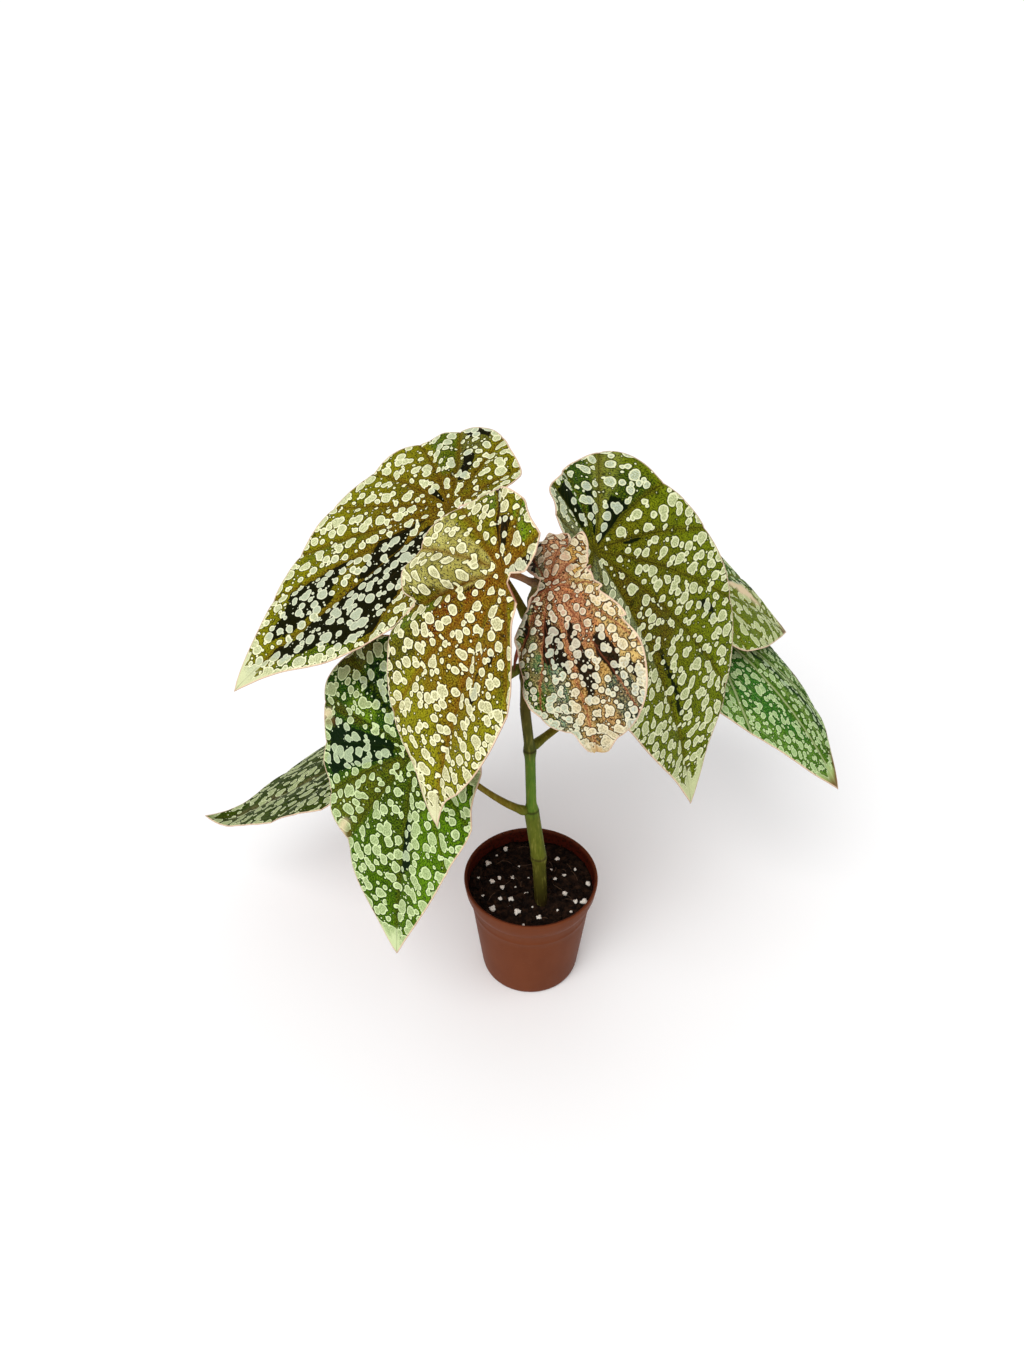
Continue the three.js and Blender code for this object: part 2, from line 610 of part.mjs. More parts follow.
// Bract: a slim closed spindle
function bractGeometry() {
  const root = new THREE.Vector3(...BRACT.root);
  const along = new THREE.Vector3(...BRACT.tip).sub(root);
  const sections = [[0, 0.6], [0.12, 1], [0.45, 0.85], [0.75, 0.5], [1, 0.1]];
  const rings = sections.map(([share, width]) => ({
    centre: root.clone().addScaledVector(along, share),
    direction: along.clone().normalize(),
    radius: (BRACT.width / 2) * width,
  }));
  return loftGeometry(rings, 8);
}

function material(color, roughness) {
  return new THREE.MeshStandardMaterial({ color, roughness, metalness: 0 });
}

const terracotta = material('#8a4a31', 0.62);
const peat = material('#2b1c17', 0.95);
const caneSkin = material('#6f8a45', 0.5);
const stalkSkin = material('#a8813a', 0.5);
const bractSkin = material('#a5503f', 0.6);
const leafColours = {
  leaf_1: '#8f8a3c', leaf_2: '#a98a3a', leaf_3: '#a9745c', leaf_4: '#7d8636',
  leaf_5: '#6c9a3c', leaf_6: '#6b8144', leaf_7: '#7f9a50', leaf_8: '#66954a',
};

const group = new THREE.Group();
group.name = 'potted_polka_dot_begonia';

function addPiece(name, geometry, skin) {
  const mesh = new THREE.Mesh(geometry, skin);
  mesh.name = name;
  group.add(mesh);
}

addPiece('pot', potGeometry(), terracotta);
addPiece('soil', soilGeometry(), peat);
addPiece('cane', loftGeometry(caneRings(0), CANE_SIDES), caneSkin);
addPiece('bract', bractGeometry(), bractSkin);
for (const leaf of LEAVES) {
  addPiece(leaf.name, bladeGeometry(leaf), material(leafColours[leaf.name], 0.45));
  addPiece(leaf.name.replace('leaf', 'stalk'), stalkGeometry(leaf), stalkSkin);
}

export default group;
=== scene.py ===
# Potted polka dot begonia: visual pieces, materials, stage and camera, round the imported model.
import math

import bpy
import numpy as np
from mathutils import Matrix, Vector, kdtree, noise


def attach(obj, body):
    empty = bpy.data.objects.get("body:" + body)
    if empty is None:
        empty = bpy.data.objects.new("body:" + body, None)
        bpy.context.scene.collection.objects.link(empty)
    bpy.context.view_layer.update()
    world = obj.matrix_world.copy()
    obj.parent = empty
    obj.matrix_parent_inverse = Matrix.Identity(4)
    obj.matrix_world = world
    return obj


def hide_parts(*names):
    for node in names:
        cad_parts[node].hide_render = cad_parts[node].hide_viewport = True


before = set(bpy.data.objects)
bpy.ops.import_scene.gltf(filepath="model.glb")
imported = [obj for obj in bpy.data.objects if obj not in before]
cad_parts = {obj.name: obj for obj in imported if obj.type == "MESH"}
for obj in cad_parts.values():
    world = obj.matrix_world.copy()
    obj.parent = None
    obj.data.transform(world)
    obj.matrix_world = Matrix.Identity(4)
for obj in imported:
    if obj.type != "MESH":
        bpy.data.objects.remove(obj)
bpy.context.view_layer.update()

bl_info = {
    "name": "Potted polka dot begonia",
    "version": (1, 0, 0),
    "blender": (4, 5, 0),
    "location": "3D View > Sidebar > Begonia",
    "description": "Builds the leaves, stalks, cane, potting mix, pot and stage of a potted begonia",
    "category": "Object",
}

MM = 0.001

# Sizes in millimetres, the same as the solids have
POT_WALL = 0.9
POT_FLOOR = 1.1
# The row of the side where its lip starts
POT_LIP_ROW = 25
POT_SIDE = [
    (20.8, 0), (21.25, 0.15), (21.6, 0.5), (22.0, 1.0), (22.2, 1.6), (22.6, 4), (23.5, 12), (24.4, 20),
    (25.3, 28), (26.2, 36.5), (26.5, 39.5), (26.6, 39.7), (26.7, 40.1), (26.73, 40.6), (26.74, 41.2),
    (26.72, 41.6), (26.74, 41.9), (27.2, 45), (27.45, 45.9), (27.8, 46.6), (28.4, 47.8), (29.0, 49.1),
    (29.35, 50.4), (29.6, 52), (29.9, 54.4), (30.0, 55.3), (29.93, 55.7), (29.7, 55.95), (29.35, 56),
    (29.0, 55.95), (28.78, 55.7),
]
# The inner side starts here, leaves out the collar's step and ends in the lip; the mouth is where it ends
INNER_FROM = 3
COLLAR_STEP = (39, 45)
INNER_LIP = (28.4, 54.5)
MOUTH = 55.2
DRAIN = {"count": 6, "radius": 2.5, "circle": 13.0}
SOIL = {"level": 49.6, "lump": 0.7, "mound": 1.2, "mound_radius": 11.0, "stem": (4.4, -10.5)}
# Rings of the mix's surface, and how many crumbs and fibres lie on it
MIX_RINGS = 46
CRUMB_COUNT = 420
FIBRE_COUNT = 22
# How near the cane they lie, and how far out their middles and their ends may lie
CANE_CLEARANCE = 4.2
CRUMB_REACH = (26.6, 27.2)
FIBRE_REACH = (24, 26.5)
# Perlite grains [x, y, radius]: the larger ones stand in the solid mix too
GRAINS = [
    (-11.5, 22, 1.5), (-19.5, 12.5, 1.7), (-17.5, 1.5, 1.5), (-14.2, 3.8, 1.2), (-8.4, 3.6, 1.2),
    (-13, -2, 1.4), (-13.8, -9, 1.2), (-8.8, -9, 1.5), (-17, -14, 1.7), (-6.2, -16.5, 2.0), (-2, -6, 1.2),
    (3.4, -19.4, 1.5), (-10.2, -24.4, 1.3), (15.3, -5.6, 1.7), (19.8, -10, 1.5), (23.4, -10.8, 2.0),
    (15.2, 4.9, 1.2), (11, 3, 1.1), (25.8, 0, 1.4), (12.6, 15.2, 1.3),
]
SMALL_GRAINS = [
    (-21.5, -6.5, 0.8), (-5.5, 10.5, 0.7), (2.5, 18.5, 0.9), (7.5, -24, 0.8), (-3.5, -23.5, 0.9),
    (-18, -18.5, 0.7), (20.5, 9, 0.8), (9.5, 8.5, 0.7), (-1, 3.5, 0.6), (-23.8, 3.5, 0.7),
    (17.5, -16.5, 0.9), (11.5, -15.5, 0.7), (-7, -1.5, 0.6), (6.5, 23.5, 0.8), (-15.5, 17.5, 0.7),
    (21.8, -4.5, 0.7), (-9.5, -13.5, 0.6), (0.5, -14, 0.6),
]

# Cane rows: [x, y, z, node radius, radius of the stretch above]
CANE = [
    (4.2, -11.4, 24, 2.7, 2.7), (4.4, -10.5, 50, 2.75, 2.9), (3.1, -8.0, 76, 3.55, 3.2),
    (-0.3, -4.0, 100, 3.2, 2.2), (-1.2, 0.0, 130, 2.8, 2.1), (-3.4, 0.0, 152, 2.1, 2.0),
    (-3.2, 0.4, 168, 2.6, 2.0), (-2.2, 0.8, 181, 2.5, 2.0), (-1.2, 0.4, 193, 2.4, 1.9),
    (-0.8, -0.8, 204, 2.3, 1.7), (0.8, -3.0, 213, 2.1, 1.6), (2.2, -5.6, 220, 1.9, 1.3),
    (3.2, -8.0, 227, 0.6, 0.4),
]
# Steps of half a millimetre over which the cane's line is eased, to each side
CANE_EASE = 9
# Length of a node's swelling, and its fine ring: how far above the node it runs, its depth and half width
SWELLING = 2.6
RING_RISE = 0.9
RING_DEPTH = 0.16
RING_WIDTH = 0.35
STALK = {"root": 1.75, "end": 1.25, "above_node": 1.6}
# A stalk's line: shares of the chord and of outwards, or of the blade's up, in the heading of each end; how
# long it keeps them, as shares of the chord; and how far its ends are sunk in the cane and the blade
STALK_LEAVE = (0.85, 0.15)
STALK_ARRIVE = (0.45, 0.75)
STALK_KEEP = (0.35, 0.22)
STALK_SUNK = (1.6, 0.35)
BRACT = {"root": (-5.5, -0.6, 183.0), "tip": (-7.8, -1.6, 171.0), "width": 1.9}

# The blade's edge: shares of each side's span at which the reaches are given
BIG_SHARES = [0.038, 0.094, 0.17, 0.264, 0.377, 0.5, 0.632, 0.764, 0.877]
SMALL_SHARES = [0.06, 0.15, 0.27, 0.42, 0.59, 0.77]
CROWN_SHARES = [0.038, 0.094, 0.17, 0.264, 0.355, 0.425, 0.5, 0.6, 0.75]
LAST_SHARE = 0.966
LAST_FALL = 0.62
NOTCH_REACH = 4.5
BLADE_SOLID = 0.7
GAP = 0.3
# Parts of the length that bend on their own: the body, the lobes behind the joint, and the tip
BODY_SHARE = 0.8
LOBE_SHARE = 0.45
TIP_SHARE = 0.2
# Degrees that a vein bends towards the tip, and the shares of a main vein where its branches leave it
VEIN_BEND = 7.0
BRANCH_STARTS = (0.24, 0.38, 0.51, 0.63, 0.74, 0.84)
# Share of the spokes on the big side, and the step along the edge in millimetres for distances to it
BIG_SPOKES = 0.62
EDGE_STEP = 0.25
# Fine relief in millimetres: vein grooves and branch lines on the face and the back, and pillows between
GROOVE = (0.2, 0.25)
THREAD = (0.08, 0.1)
PILLOW = 0.24
# The pale tip fades in over this share of the length, past lobes of these shares: even ones and noise
TIP_FADE = 0.025
TIP_LOBES = (0.025, 0.02)

# Leaves as the solids have them: place, turn, reaches of the edge, folds, bends, veins and long creases.
# Notches, which the solids leave out, are [signed angle, depth as a share of the reach, half width].
# Leaves 6 to 8, of which little is seen, share one set of veins.
PLAIN_VEINS = {"big_veins": [20, 44, 70, 96, 124, 154, 190], "small_veins": [28, 60, 95]}
LEAVES = {
    1: dict(
        node=8, joint=(-32.2, 34.7, 222.2), hand=-1, heading=204, pitch=31.5, roll=5, length=110.5,
        big_span=222, big=[91, 76, 63, 52, 46, 44, 43, 33, 30],
        small_span=122, small=[91, 76, 58.5, 45, 38, 36],
        fold=(-6.5, -2), curl=(8, 8), arch=(1.5, 20, 11), sweep=0.015, quilt=1.0, wave=(0.8, 9, 20),
        pleats=[(113, 1.6, 10)], big_veins=[16, 30, 49, 72, 99, 122, 150, 185], small_veins=[27, 62, 98],
        rise=10, seat=-0.1),
    2: dict(
        node=10, joint=(-11.4, -38.4, 239.2), hand=-1, heading=-142, pitch=61.5, roll=-13, length=98.5,
        big_span=254, big=[79.5, 73.5, 58.5, 42.5, 39.5, 33.5, 24.5, 19.5, 18.5],
        small_span=66, small=[84, 76.5, 66, 53.5, 41, 19],
        fold=(-20.5, 4), curl=(13.5, 8), arch=(12.5, 12.5, 16), sweep=0, quilt=0.9, wave=(0.6, 8, 70),
        pleats=[(65, 4.5, 11), (49, -3.0, 8)], big_veins=[24, 50, 77, 102, 128, 158, 205],
        small_veins=[34, 62], rise=2, seat=0, notches=[(53, 0.14, 2.6), (46.5, -0.06, 3)]),
    3: dict(
        node=11, joint=(3.8, -36.6, 232.4), hand=1, heading=-81, pitch=9.5, roll=-20, length=68,
        big_span=212, big=[57, 51.5, 40, 23, 15, 15, 23, 28, 27],
        small_span=108, small=[54.5, 49.5, 39.5, 24, 15, 7],
        fold=(-18, 14), curl=(18, 24), arch=(76, 12, 64), sweep=-0.05, quilt=0.8, wave=(1.1, 13, 40),
        pleats=[(112, -2.0, 9), (145, 1.5, 9)], big_veins=[19, 38, 62, 95, 128, 160, 190],
        small_veins=[20, 42, 75], rise=2, seat=0,
        notches=[
            (-7, 0.04, 2.2), (43.5, 0.13, 1.8), (55, 0.17, 3.4), (66, 0.08, 6), (84, 0.07, 3),
            (102, 0.1, 4), (128, 0.12, 6), (150, 0.16, 5), (166, 0.12, 3), (176, 0.14, 3)]),
    4: dict(
        node=9, joint=(20.8, 2.6, 222.2), hand=1, heading=-12, pitch=54.5, roll=5.5, length=121.5,
        big_span=236, big=[103, 94, 80, 60.5, 50.5, 56, 43.5, 31.5, 26], big_shares=CROWN_SHARES,
        small_span=108, small=[101.5, 83, 65, 51.5, 43, 36],
        fold=(-32, 22), curl=(-3, 4), arch=(21, 15, 3.5), sweep=-0.017, quilt=1.0, wave=(0.8, 8, 10),
        pleats=[], big_veins=[22, 42, 62, 83, 105, 128, 155, 197], small_veins=[27, 60, 92], rise=4, seat=0),
    5: dict(
        node=3, joint=(-44.8, -23.9, 150.1), hand=-1, heading=-119.5, pitch=67.5, roll=-4, length=95,
        big_span=210, big=[79.5, 67.5, 58, 52, 50, 53, 50, 42.5, 36.5],
        small_span=134, small=[75, 57.5, 45.2, 38.5, 32.7, 29],
        fold=(-1.5, -13.5), curl=(14, 12), arch=(11, 20, 4.5), sweep=0, quilt=1.0, wave=(0.9, 8, 0),
        pleats=[(41, 1.6, 9), (56, -1.8, 9), (28, -1.2, 7)], big_veins=[30, 50, 73, 92, 120, 150, 185],
        small_veins=[32, 60, 95], rise=0, seat=0.6),
    6: dict(
        node=6, joint=(-61.7, 33.5, 108.1), hand=-1, heading=177, pitch=35, roll=-17, length=112,
        big_span=212, big=[92.5, 83, 76, 64, 57.5, 53, 49, 44, 38],
        small_span=132, small=[91.5, 73.5, 59, 49.5, 43.5, 38],
        fold=(-10, -2.5), curl=(21.5, 15), arch=(-1, -20, -44), sweep=0.01, quilt=0.9, wave=(0.6, 8, 45),
        pleats=[], **PLAIN_VEINS, rise=-12, seat=-0.1),
    7: dict(
        node=7, joint=(67.9, 57.9, 175.3), hand=1, heading=31, pitch=29.5, roll=-17.5, length=87.5,
        big_span=212, big=[67, 60.5, 52.5, 47.5, 45, 43, 41, 38, 33],
        small_span=132, small=[71, 56.5, 46.5, 39.5, 34.5, 29.5],
        fold=(-7.5, 1), curl=(15, 16), arch=(16, 20, -3), sweep=0.004, quilt=0.8, wave=(0.6, 8, 80),
        pleats=[], **PLAIN_VEINS, rise=12, seat=0),
    8: dict(
        node=4, joint=(74.1, 61.8, 152), hand=1, heading=-34.5, pitch=20.5, roll=2, length=99,
        big_span=214, big=[81.5, 73, 64, 61, 60, 53.5, 48.5, 43.5, 38],
        small_span=131, small=[83.5, 65, 52, 42.5, 38, 34.5],
        fold=(3, 5), curl=(45, 14), arch=(30, 20, 5), sweep=0.01, quilt=0.9, wave=(0.7, 8, 30),
        pleats=[], **PLAIN_VEINS, rise=3, seat=0.4),
}

# Looks of each leaf; colours are sRGB.
# The ground: centre, edge and shade; lime where it glows; warm along the veins and vein for their lines;
# dark for panels, flecks and outlines. The spots: spot, grey for their grit, rim. The pale tip: tip.
# What a leaf may also give: bigger, millimetres added to each spot's radius, and dots, the same for the
# finest; spread, on the spacing and size of spots; stretch, below 1 for spots that are long across the
# leaf; stain, how much ground shows in a spot; outline, strength of its dark ring; line, half width of the
# vein lines; band, width of the warm band; clear, millimetres that spots lose along the veins; crumple,
# height of the puckers in millimetres; tip_from, the share of the length where the pale tip starts.
# Zones are [what, from angle, to angle, from share, to share, strength]: angles from the midrib, the big
# side positive; shares of the reach. A zone is a colour of the ground, "dark" for a torn panel, "scar" for
# dried brown, "peach" for bleached tissue, or "clear", where spots lose that many millimetres. Tints,
# written the same way, colour the spots. A few zones and tints are painted shade or light, not the leaf's
# own colour; each is marked where it stands.
SKINS = {
    1: dict(
        centre="#6a5608", edge="#7e7a06", shade="#5c5e06", dark="#090a02", warm="#6b4a0a", lime="#989a20",
        spot="#d6d9a8", grey="#abb086", rim="#f6f5cc", vein="#3a2a08", tip="#d0d4a6", bigger=0.06,
        zones=[
            ("#6a4a08", 0, 120, 0.0, 0.42, 0.5), ("#3f5e0c", 104, 122, 0.4, 1.0, 0.85),
            ("#55562a", 124, 141, 0.3, 0.92, 0.8), ("dark", 128, 140, 0.3, 0.7, 0.75),
            ("dark", 128, 139, 0.86, 0.99, 0.8), ("dark", 76, 88, 0.06, 0.3, 0.9),
            ("dark", -27, -1, 0.14, 0.88, 1.0), ("dark", 2, 16, 0.54, 0.87, 1.0),
            ("dark", 0, 18, 0.16, 0.42, 0.9), ("#6b5210", -44, -27, 0.3, 1.0, 0.7),
            ("#2f5a0c", -24, -6, 0.86, 0.97, 0.8), ("#3f5e0c", 24, 30, 0.5, 0.9, 0.5),
            ("dark", -122, -70, 0.1, 0.9, 0.5)],
        tints=[
            ("#b9c2ae", -30, 20, 0.14, 0.92, 0.7), ("#bcc8ae", 104, 142, 0.3, 1.0, 0.7)]),
    2: dict(
        centre="#7c5206", edge="#7c7a08", shade="#6a640a", dark="#140f02", warm="#74460a", lime="#a8a030",
        spot="#d8d6a6", grey="#aaa67e", rim="#f8f4c8", vein="#5a3a08", tip="#dedcb0", clear=1.0, stretch=0.82,
        spread=0.92, outline=0.85,
        zones=[
            ("#85560f", -66, 34, 0.0, 0.44, 0.8), ("#7c600e", 0, 24, 0.44, 0.74, 0.6),
            # The pale flap, #b4ac5c and #beb868 from 40 to 96 degrees, is partly its own lemon colour and
            # partly painted light, lighter where it faces up.
            ("#8c8a10", -40, 40, 0.72, 1.0, 0.7), ("#b4ac5c", 40, 96, 0.1, 0.34, 0.9),
            ("#b4ac5c", 51, 96, 0.34, 0.72, 0.95), ("#beb868", 57, 96, 0.72, 1.0, 0.95),
            ("#6a2c08", 28, 43, 0.04, 0.6, 0.9), ("#4f6a10", 42, 51, 0.5, 1.0, 0.9),
            # Painted shadow: the near-black #1c1604 lines under the flap's edge and the dark #2c2a06 patch
            # below the crease near the edge are shade cast by the flap.
            ("#1c1604", 38, 42, 0.14, 0.34, 0.9), ("#1c1604", 48, 52, 0.34, 0.72, 0.9),
            ("#1c1604", 53, 57, 0.72, 1.0, 0.8), ("#2c2a06", 30, 42, 0.62, 1.0, 0.8),
            ("#77780a", 96, 126, 0.3, 1.0, 0.8), ("dark", 126, 131, 0.04, 1.0, 1.0),
            ("#41701c", 118, 126, 0.7, 1.0, 0.7), ("dark", 134, 150, 0.26, 0.66, 0.95),
            ("#5c8a14", 150, 196, 0.66, 1.0, 0.75), ("dark", 222, 252, 0.14, 0.9, 0.8),
            ("dark", -21, -16, 0.38, 0.5, 0.9), ("dark", -12, -8, 0.46, 0.56, 0.8),
            ("#7f7c10", -66, -40, 0.5, 1.0, 0.6), ("#5a6a14", -4, 1, 0.04, 0.34, 0.8),
            ("#3a3406", -34, -28, 0.3, 0.8, 0.6)]),
    3: dict(
        centre="#9a6838", edge="#c09c50", shade="#8a5c34", dark="#140e06", warm="#b06c48", lime="#dcc280",
        spot="#d8d4b6", grey="#b0a88c", rim="#e9e2c2", vein="#7a4028", tip="#cca468", band=0.5, line=0.46,
        clear=0.6, bigger=0.1, spread=0.68, stain=0.2, crumple=2.0, outline=0.92,
        zones=[
            ("#cfae68", 24, 112, 0.4, 1.0, 0.9), ("#bd7c5c", 0, 112, 0.0, 0.5, 0.65),
            ("#c07040", 26, 32, 0.2, 0.7, 0.7), ("#c87846", 42, 49, 0.2, 0.85, 0.7),
            ("#30160e", -108, -3, 0.0, 0.5, 0.9), ("#4c3224", -108, -50, 0.3, 0.85, 0.8),
            ("dark", -20, -2, 0.24, 0.56, 1.0), ("dark", -108, -68, 0.3, 0.9, 0.7),
            ("dark", 3, 12, 0.28, 0.66, 0.8), ("dark", 17, 29, 0.5, 0.76, 0.8),
            ("#48683e", -62, -4, 0.48, 1.0, 1.0), ("#22600f", -48, -9, 0.72, 1.0, 1.0),
            ("clear", -46, -14, 0.5, 0.76, 0.5), ("#7c9078", -13, -7, 0.5, 0.97, 0.8),
            ("dark", -50, -36, 0.56, 0.78, 0.8), ("#475c4a", 12, 25, 0.72, 1.0, 1.0),
            ("dark", 25, 31, 0.8, 0.95, 0.7), ("#b08c56", -5, 12, 0.66, 1.0, 1.0),
            ("#5c4814", 2, 6, 0.6, 0.96, 0.8), ("dark", 5, 9, 0.62, 0.72, 0.5),
            # The peach #e0a074 and gold #d4a848 on the back lobe are partly the leaf's own colour and partly
            # painted light, lightened to offset the shade that falls there.
            ("#e0a074", 112, 178, 0.16, 1.0, 0.95), ("#d4a848", 100, 150, 0.55, 1.0, 0.8),
            ("#5a2c18", 116, 122, 0.1, 0.8, 0.9), ("#a0522f", 150, 156, 0.1, 0.9, 0.8),
            ("#73805c", 178, 212, 0.25, 1.0, 0.95), ("dark", 176, 188, 0.74, 1.0, 0.9),
            ("dark", 190, 206, 0.5, 0.92, 0.8), ("#8a3a1c", 60, 212, 0.0, 0.2, 0.9)],
        tints=[
            ("#cba28c", -108, 112, 0.0, 0.42, 0.85), ("#ecd8a4", 24, 112, 0.42, 1.0, 0.8),
            ("#dcb090", 112, 210, 0.0, 0.7, 0.7), ("#ccd4ca", 3, 32, 0.48, 1.0, 0.85),
            ("#c6d6c0", -84, -5, 0.4, 1.0, 0.9), ("#e4d6aa", -5, 12, 0.66, 1.0, 0.8)]),
    4: dict(
        centre="#66640a", edge="#6e7c0a", shade="#4a5406", dark="#081202", warm="#564606", lime="#8c961c",
        spot="#d0d6a0", grey="#a0a87a", rim="#eef0c4", vein="#2c2a04", tip="#ccd29e", bigger=0.03,
        spread=0.88, stretch=0.64, dots=-0.1,
        zones=[
            ("#56420a", 0, 22, 0.1, 0.5, 0.8), ("#24400a", 82, 99, 0.1, 0.9, 0.9),
            ("dark", 84, 98, 0.04, 0.56, 0.9), ("#7e8434", 98, 111, 0.2, 1.0, 0.95),
            ("#24480c", 111, 172, 0.1, 1.0, 0.95), ("dark", 112, 120, 0.1, 0.7, 0.8),
            ("dark", 138, 156, 0.3, 0.9, 0.85), ("#4f8a14", 128, 137, 0.5, 0.9, 0.8),
            ("#5c6c48", 156, 176, 0.6, 1.0, 0.8), ("#7e8460", 176, 236, 0.1, 1.0, 0.9),
            ("#87906a", -60, -2, 0.02, 0.46, 0.9), ("dark", 32, 35, 0.68, 0.84, 0.8),
            ("dark", 57, 61, 0.24, 0.38, 0.8), ("dark", 2, 5, 0.42, 0.7, 0.7),
            ("clear", 60, 84, 0.3, 0.9, 0.2), ("clear", 0, 16, 0.2, 0.7, 0.15),
            ("#3a3404", 40, 44, 0.1, 0.5, 0.6), ("#3a3404", 61, 65, 0.1, 0.6, 0.6)],
        tints=[
            ("#c8d2c0", 84, 236, 0.1, 1.0, 0.85), ("#b4bc9c", -60, -2, 0.0, 0.5, 0.7)]),
    5: dict(
        centre="#3a4a08", edge="#426604", shade="#2c4604", dark="#071804", warm="#4a4606", lime="#7c9c1c",
        spot="#b8ca90", grey="#8e9e6c", rim="#dcecb2", vein="#142806", tip="#ccd8a4", bigger=0.12, stain=0.12,
        spread=1.1, outline=0.85,
        zones=[
            # The crown, from 54 to 150 degrees, is darker green with near-black panels and a brown top: partly
            # the leaf's own colour, partly painted shadow of leaf 2 above it.
            ("#5c5c10", 28, 52, 0.1, 0.95, 0.8), ("#163e0a", 54, 150, 0.1, 1.0, 0.95),
            ("dark", 56, 86, 0.2, 0.96, 0.66), ("dark", 112, 150, 0.1, 0.8, 0.5),
            ("#6a8a14", 94, 110, 0.4, 0.72, 0.9), ("#5a4c18", 112, 140, 0.84, 1.0, 0.8),
            ("#4a3c10", 88, 96, 0.5, 0.86, 0.7), ("#5f8a0c", -134, -10, 0.4, 1.0, 0.7),
            ("dark", -7, 0, 0.3, 0.6, 0.7), ("peach", 31, 34, 0.88, 1.0, 0.8),
            ("scar", 28, 30, 0.9, 1.0, 0.7), ("peach", 86, 90, 0.95, 1.0, 0.8),
            ("scar", 83, 85, 0.9, 1.0, 0.7)],
        tints=[
            # The crown's spots are greyer: partly their own colour, partly painted shadow of leaf 2 above.
            ("#a8a880", 88, 150, 0.5, 1.0, 0.6)]),
    6: dict(
        centre="#2c3a02", edge="#364604", shade="#1e2a04", dark="#0e1802", warm="#3c4008", lime="#566a1c",
        spot="#b0ba88", grey="#889464", rim="#d0d8a8", vein="#161c04", tip="#5f7428", bigger=-0.14,
        spread=1.4, stretch=1.4, dots=-0.1, outline=0.85, tip_from=0.985,
        zones=[
            ("dark", -60, -15, 0.1, 0.9, 0.4), ("#8a7a58", -3, 1, 0.3, 0.9, 0.7),
            ("dark", 9, 12, 0.2, 0.9, 0.35)]),
    7: dict(
        centre="#6c7a14", edge="#6c8014", shade="#58680e", dark="#243406", warm="#7c7a20", lime="#95a23a",
        spot="#ccd49c", grey="#aab67c", rim="#e2e6ba", vein="#4c580e", tip="#ccd092", bigger=0.06, spread=1.2,
        dots=-0.15, outline=0.5,
        zones=[
            ("#2c5c14", 14, 60, 0.4, 1.0, 0.95), ("dark", 13, 16, 0.5, 1.0, 0.8),
            ("peach", 3, 13, 0.5, 0.76, 1.0), ("scar", -4, 4, 0.94, 1.0, 1.0)],
        tints=[
            ("#9cb888", 13, 60, 0.5, 1.0, 0.8)]),
    8: dict(
        centre="#3f6a14", edge="#46701a", shade="#2f5810", dark="#133004", warm="#5a7020", lime="#78a034",
        spot="#b0c68c", grey="#8cac70", rim="#cadca4", vein="#c4cc98", tip="#9cac5c", bigger=-0.06,
        spread=0.85, line=0.9, dots=-0.1, stretch=1.4,
        zones=[
            ("#2f6e26", -60, -3, 0.1, 0.78, 0.9), ("#7cac44", -60, -3, 0.83, 0.86, 0.8),
            ("#88b450", -60, -3, 0.92, 0.95, 0.8), ("#86aa48", -34, -30, 0.3, 0.9, 0.7),
            ("#28500c", 2, 60, 0.3, 1.0, 0.8), ("#8cac50", 4, 7, 0.2, 0.9, 0.8),
            ("#a0b468", 14, 17, 0.2, 1.0, 0.8), ("dark", 9, 13, 0.3, 0.9, 0.8),
            ("#8aa44c", 24, 28, 0.3, 1.0, 0.7), ("scar", 30, 38, 0.87, 1.0, 1.0),
            ("scar", -4, 4, 0.94, 1.0, 1.0)]),
}
FIELDS = ("vein", "branch", "edge", "dark", "scar", "peach", "tip", "bare", "under")

# Scatters of spots: [spacing, smallest and largest radius in millimetres, randomness, turn]. A radius
# below nought leaves that place empty. Spots run together over the blend, in millimetres.
SCATTERS = (
    ("large_spot", 1.3, 2.5, 0.62, 0.0), ("middle_spot", 0.9, 2.0, 0.7, 0.7),
    ("small_spot", -0.2, 1.2, 0.75, 1.9), ("dot", -0.65, 0.46, 0.85, 2.6),
)
SPOT_BLEND = 0.1
# The flat leaf's millimetres are kept in its UV map divided by this
UV_MM = 100.0

# Borders of zones: softness in degrees and in shares, and how far noise pushes them, in the same; its cells
# are 9 mm
ZONE_SOFT = 1.8
ZONE_FADE = 0.05
ZONE_TURN = 4
ZONE_PUSH = 0.08
ZONE_NOISE = 0.11

# Real sizes of the patterns, in millimetres
GRAIN = {
    "spot drift": 3.03, "leaf mottle": 7.69, "torn panels": 2.0, "cuticle": 0.588,
    "crumb": 1.43, "peat grain": 2.38, "damp patch": 5.26, "foam cell": 0.385, "peat dust": 1.67,
    "fibre tone": 8.33, "plastic cloud": 16.7, "scuff": 1.11, "floor cloud": 333.0,
}
# Streaks that run along a piece: across it, and upwards
STEM_STREAK = (1.11, 1.11, 6.25)
POT_STREAK = (3.85, 3.85, 33.3)

# Gloss. Waxy skins, damp peat and scuffed plastic send back little light here: low specular levels.
GLOSS = {
    "leaf": {"IOR": 1.42, "Specular IOR Level": 0.03},
    "stem": {"Roughness": 0.5, "IOR": 1.42, "Specular IOR Level": 0.06},
    "pot": {"Roughness": 0.45, "IOR": 1.49, "Specular IOR Level": 0.04},
    "mix": {"Roughness": 0.9, "Specular IOR Level": 0.1},
    "perlite": {"Roughness": 0.85},
    "fibre": {"Roughness": 0.8},
    "floor": {"Roughness": 0.95},
}

# Camera in metres and degrees; its focal length and the photograph's height are in pixels
CAMERA_PLACE = (-0.0085, -0.338, 0.4255)
CAMERA_TILT = 52.4
FOCAL_PIXELS = 1100
PHOTO_HEIGHT = 1364
SENSOR = 36
LAMP_AIM = (0.4, 0.75, -0.95)


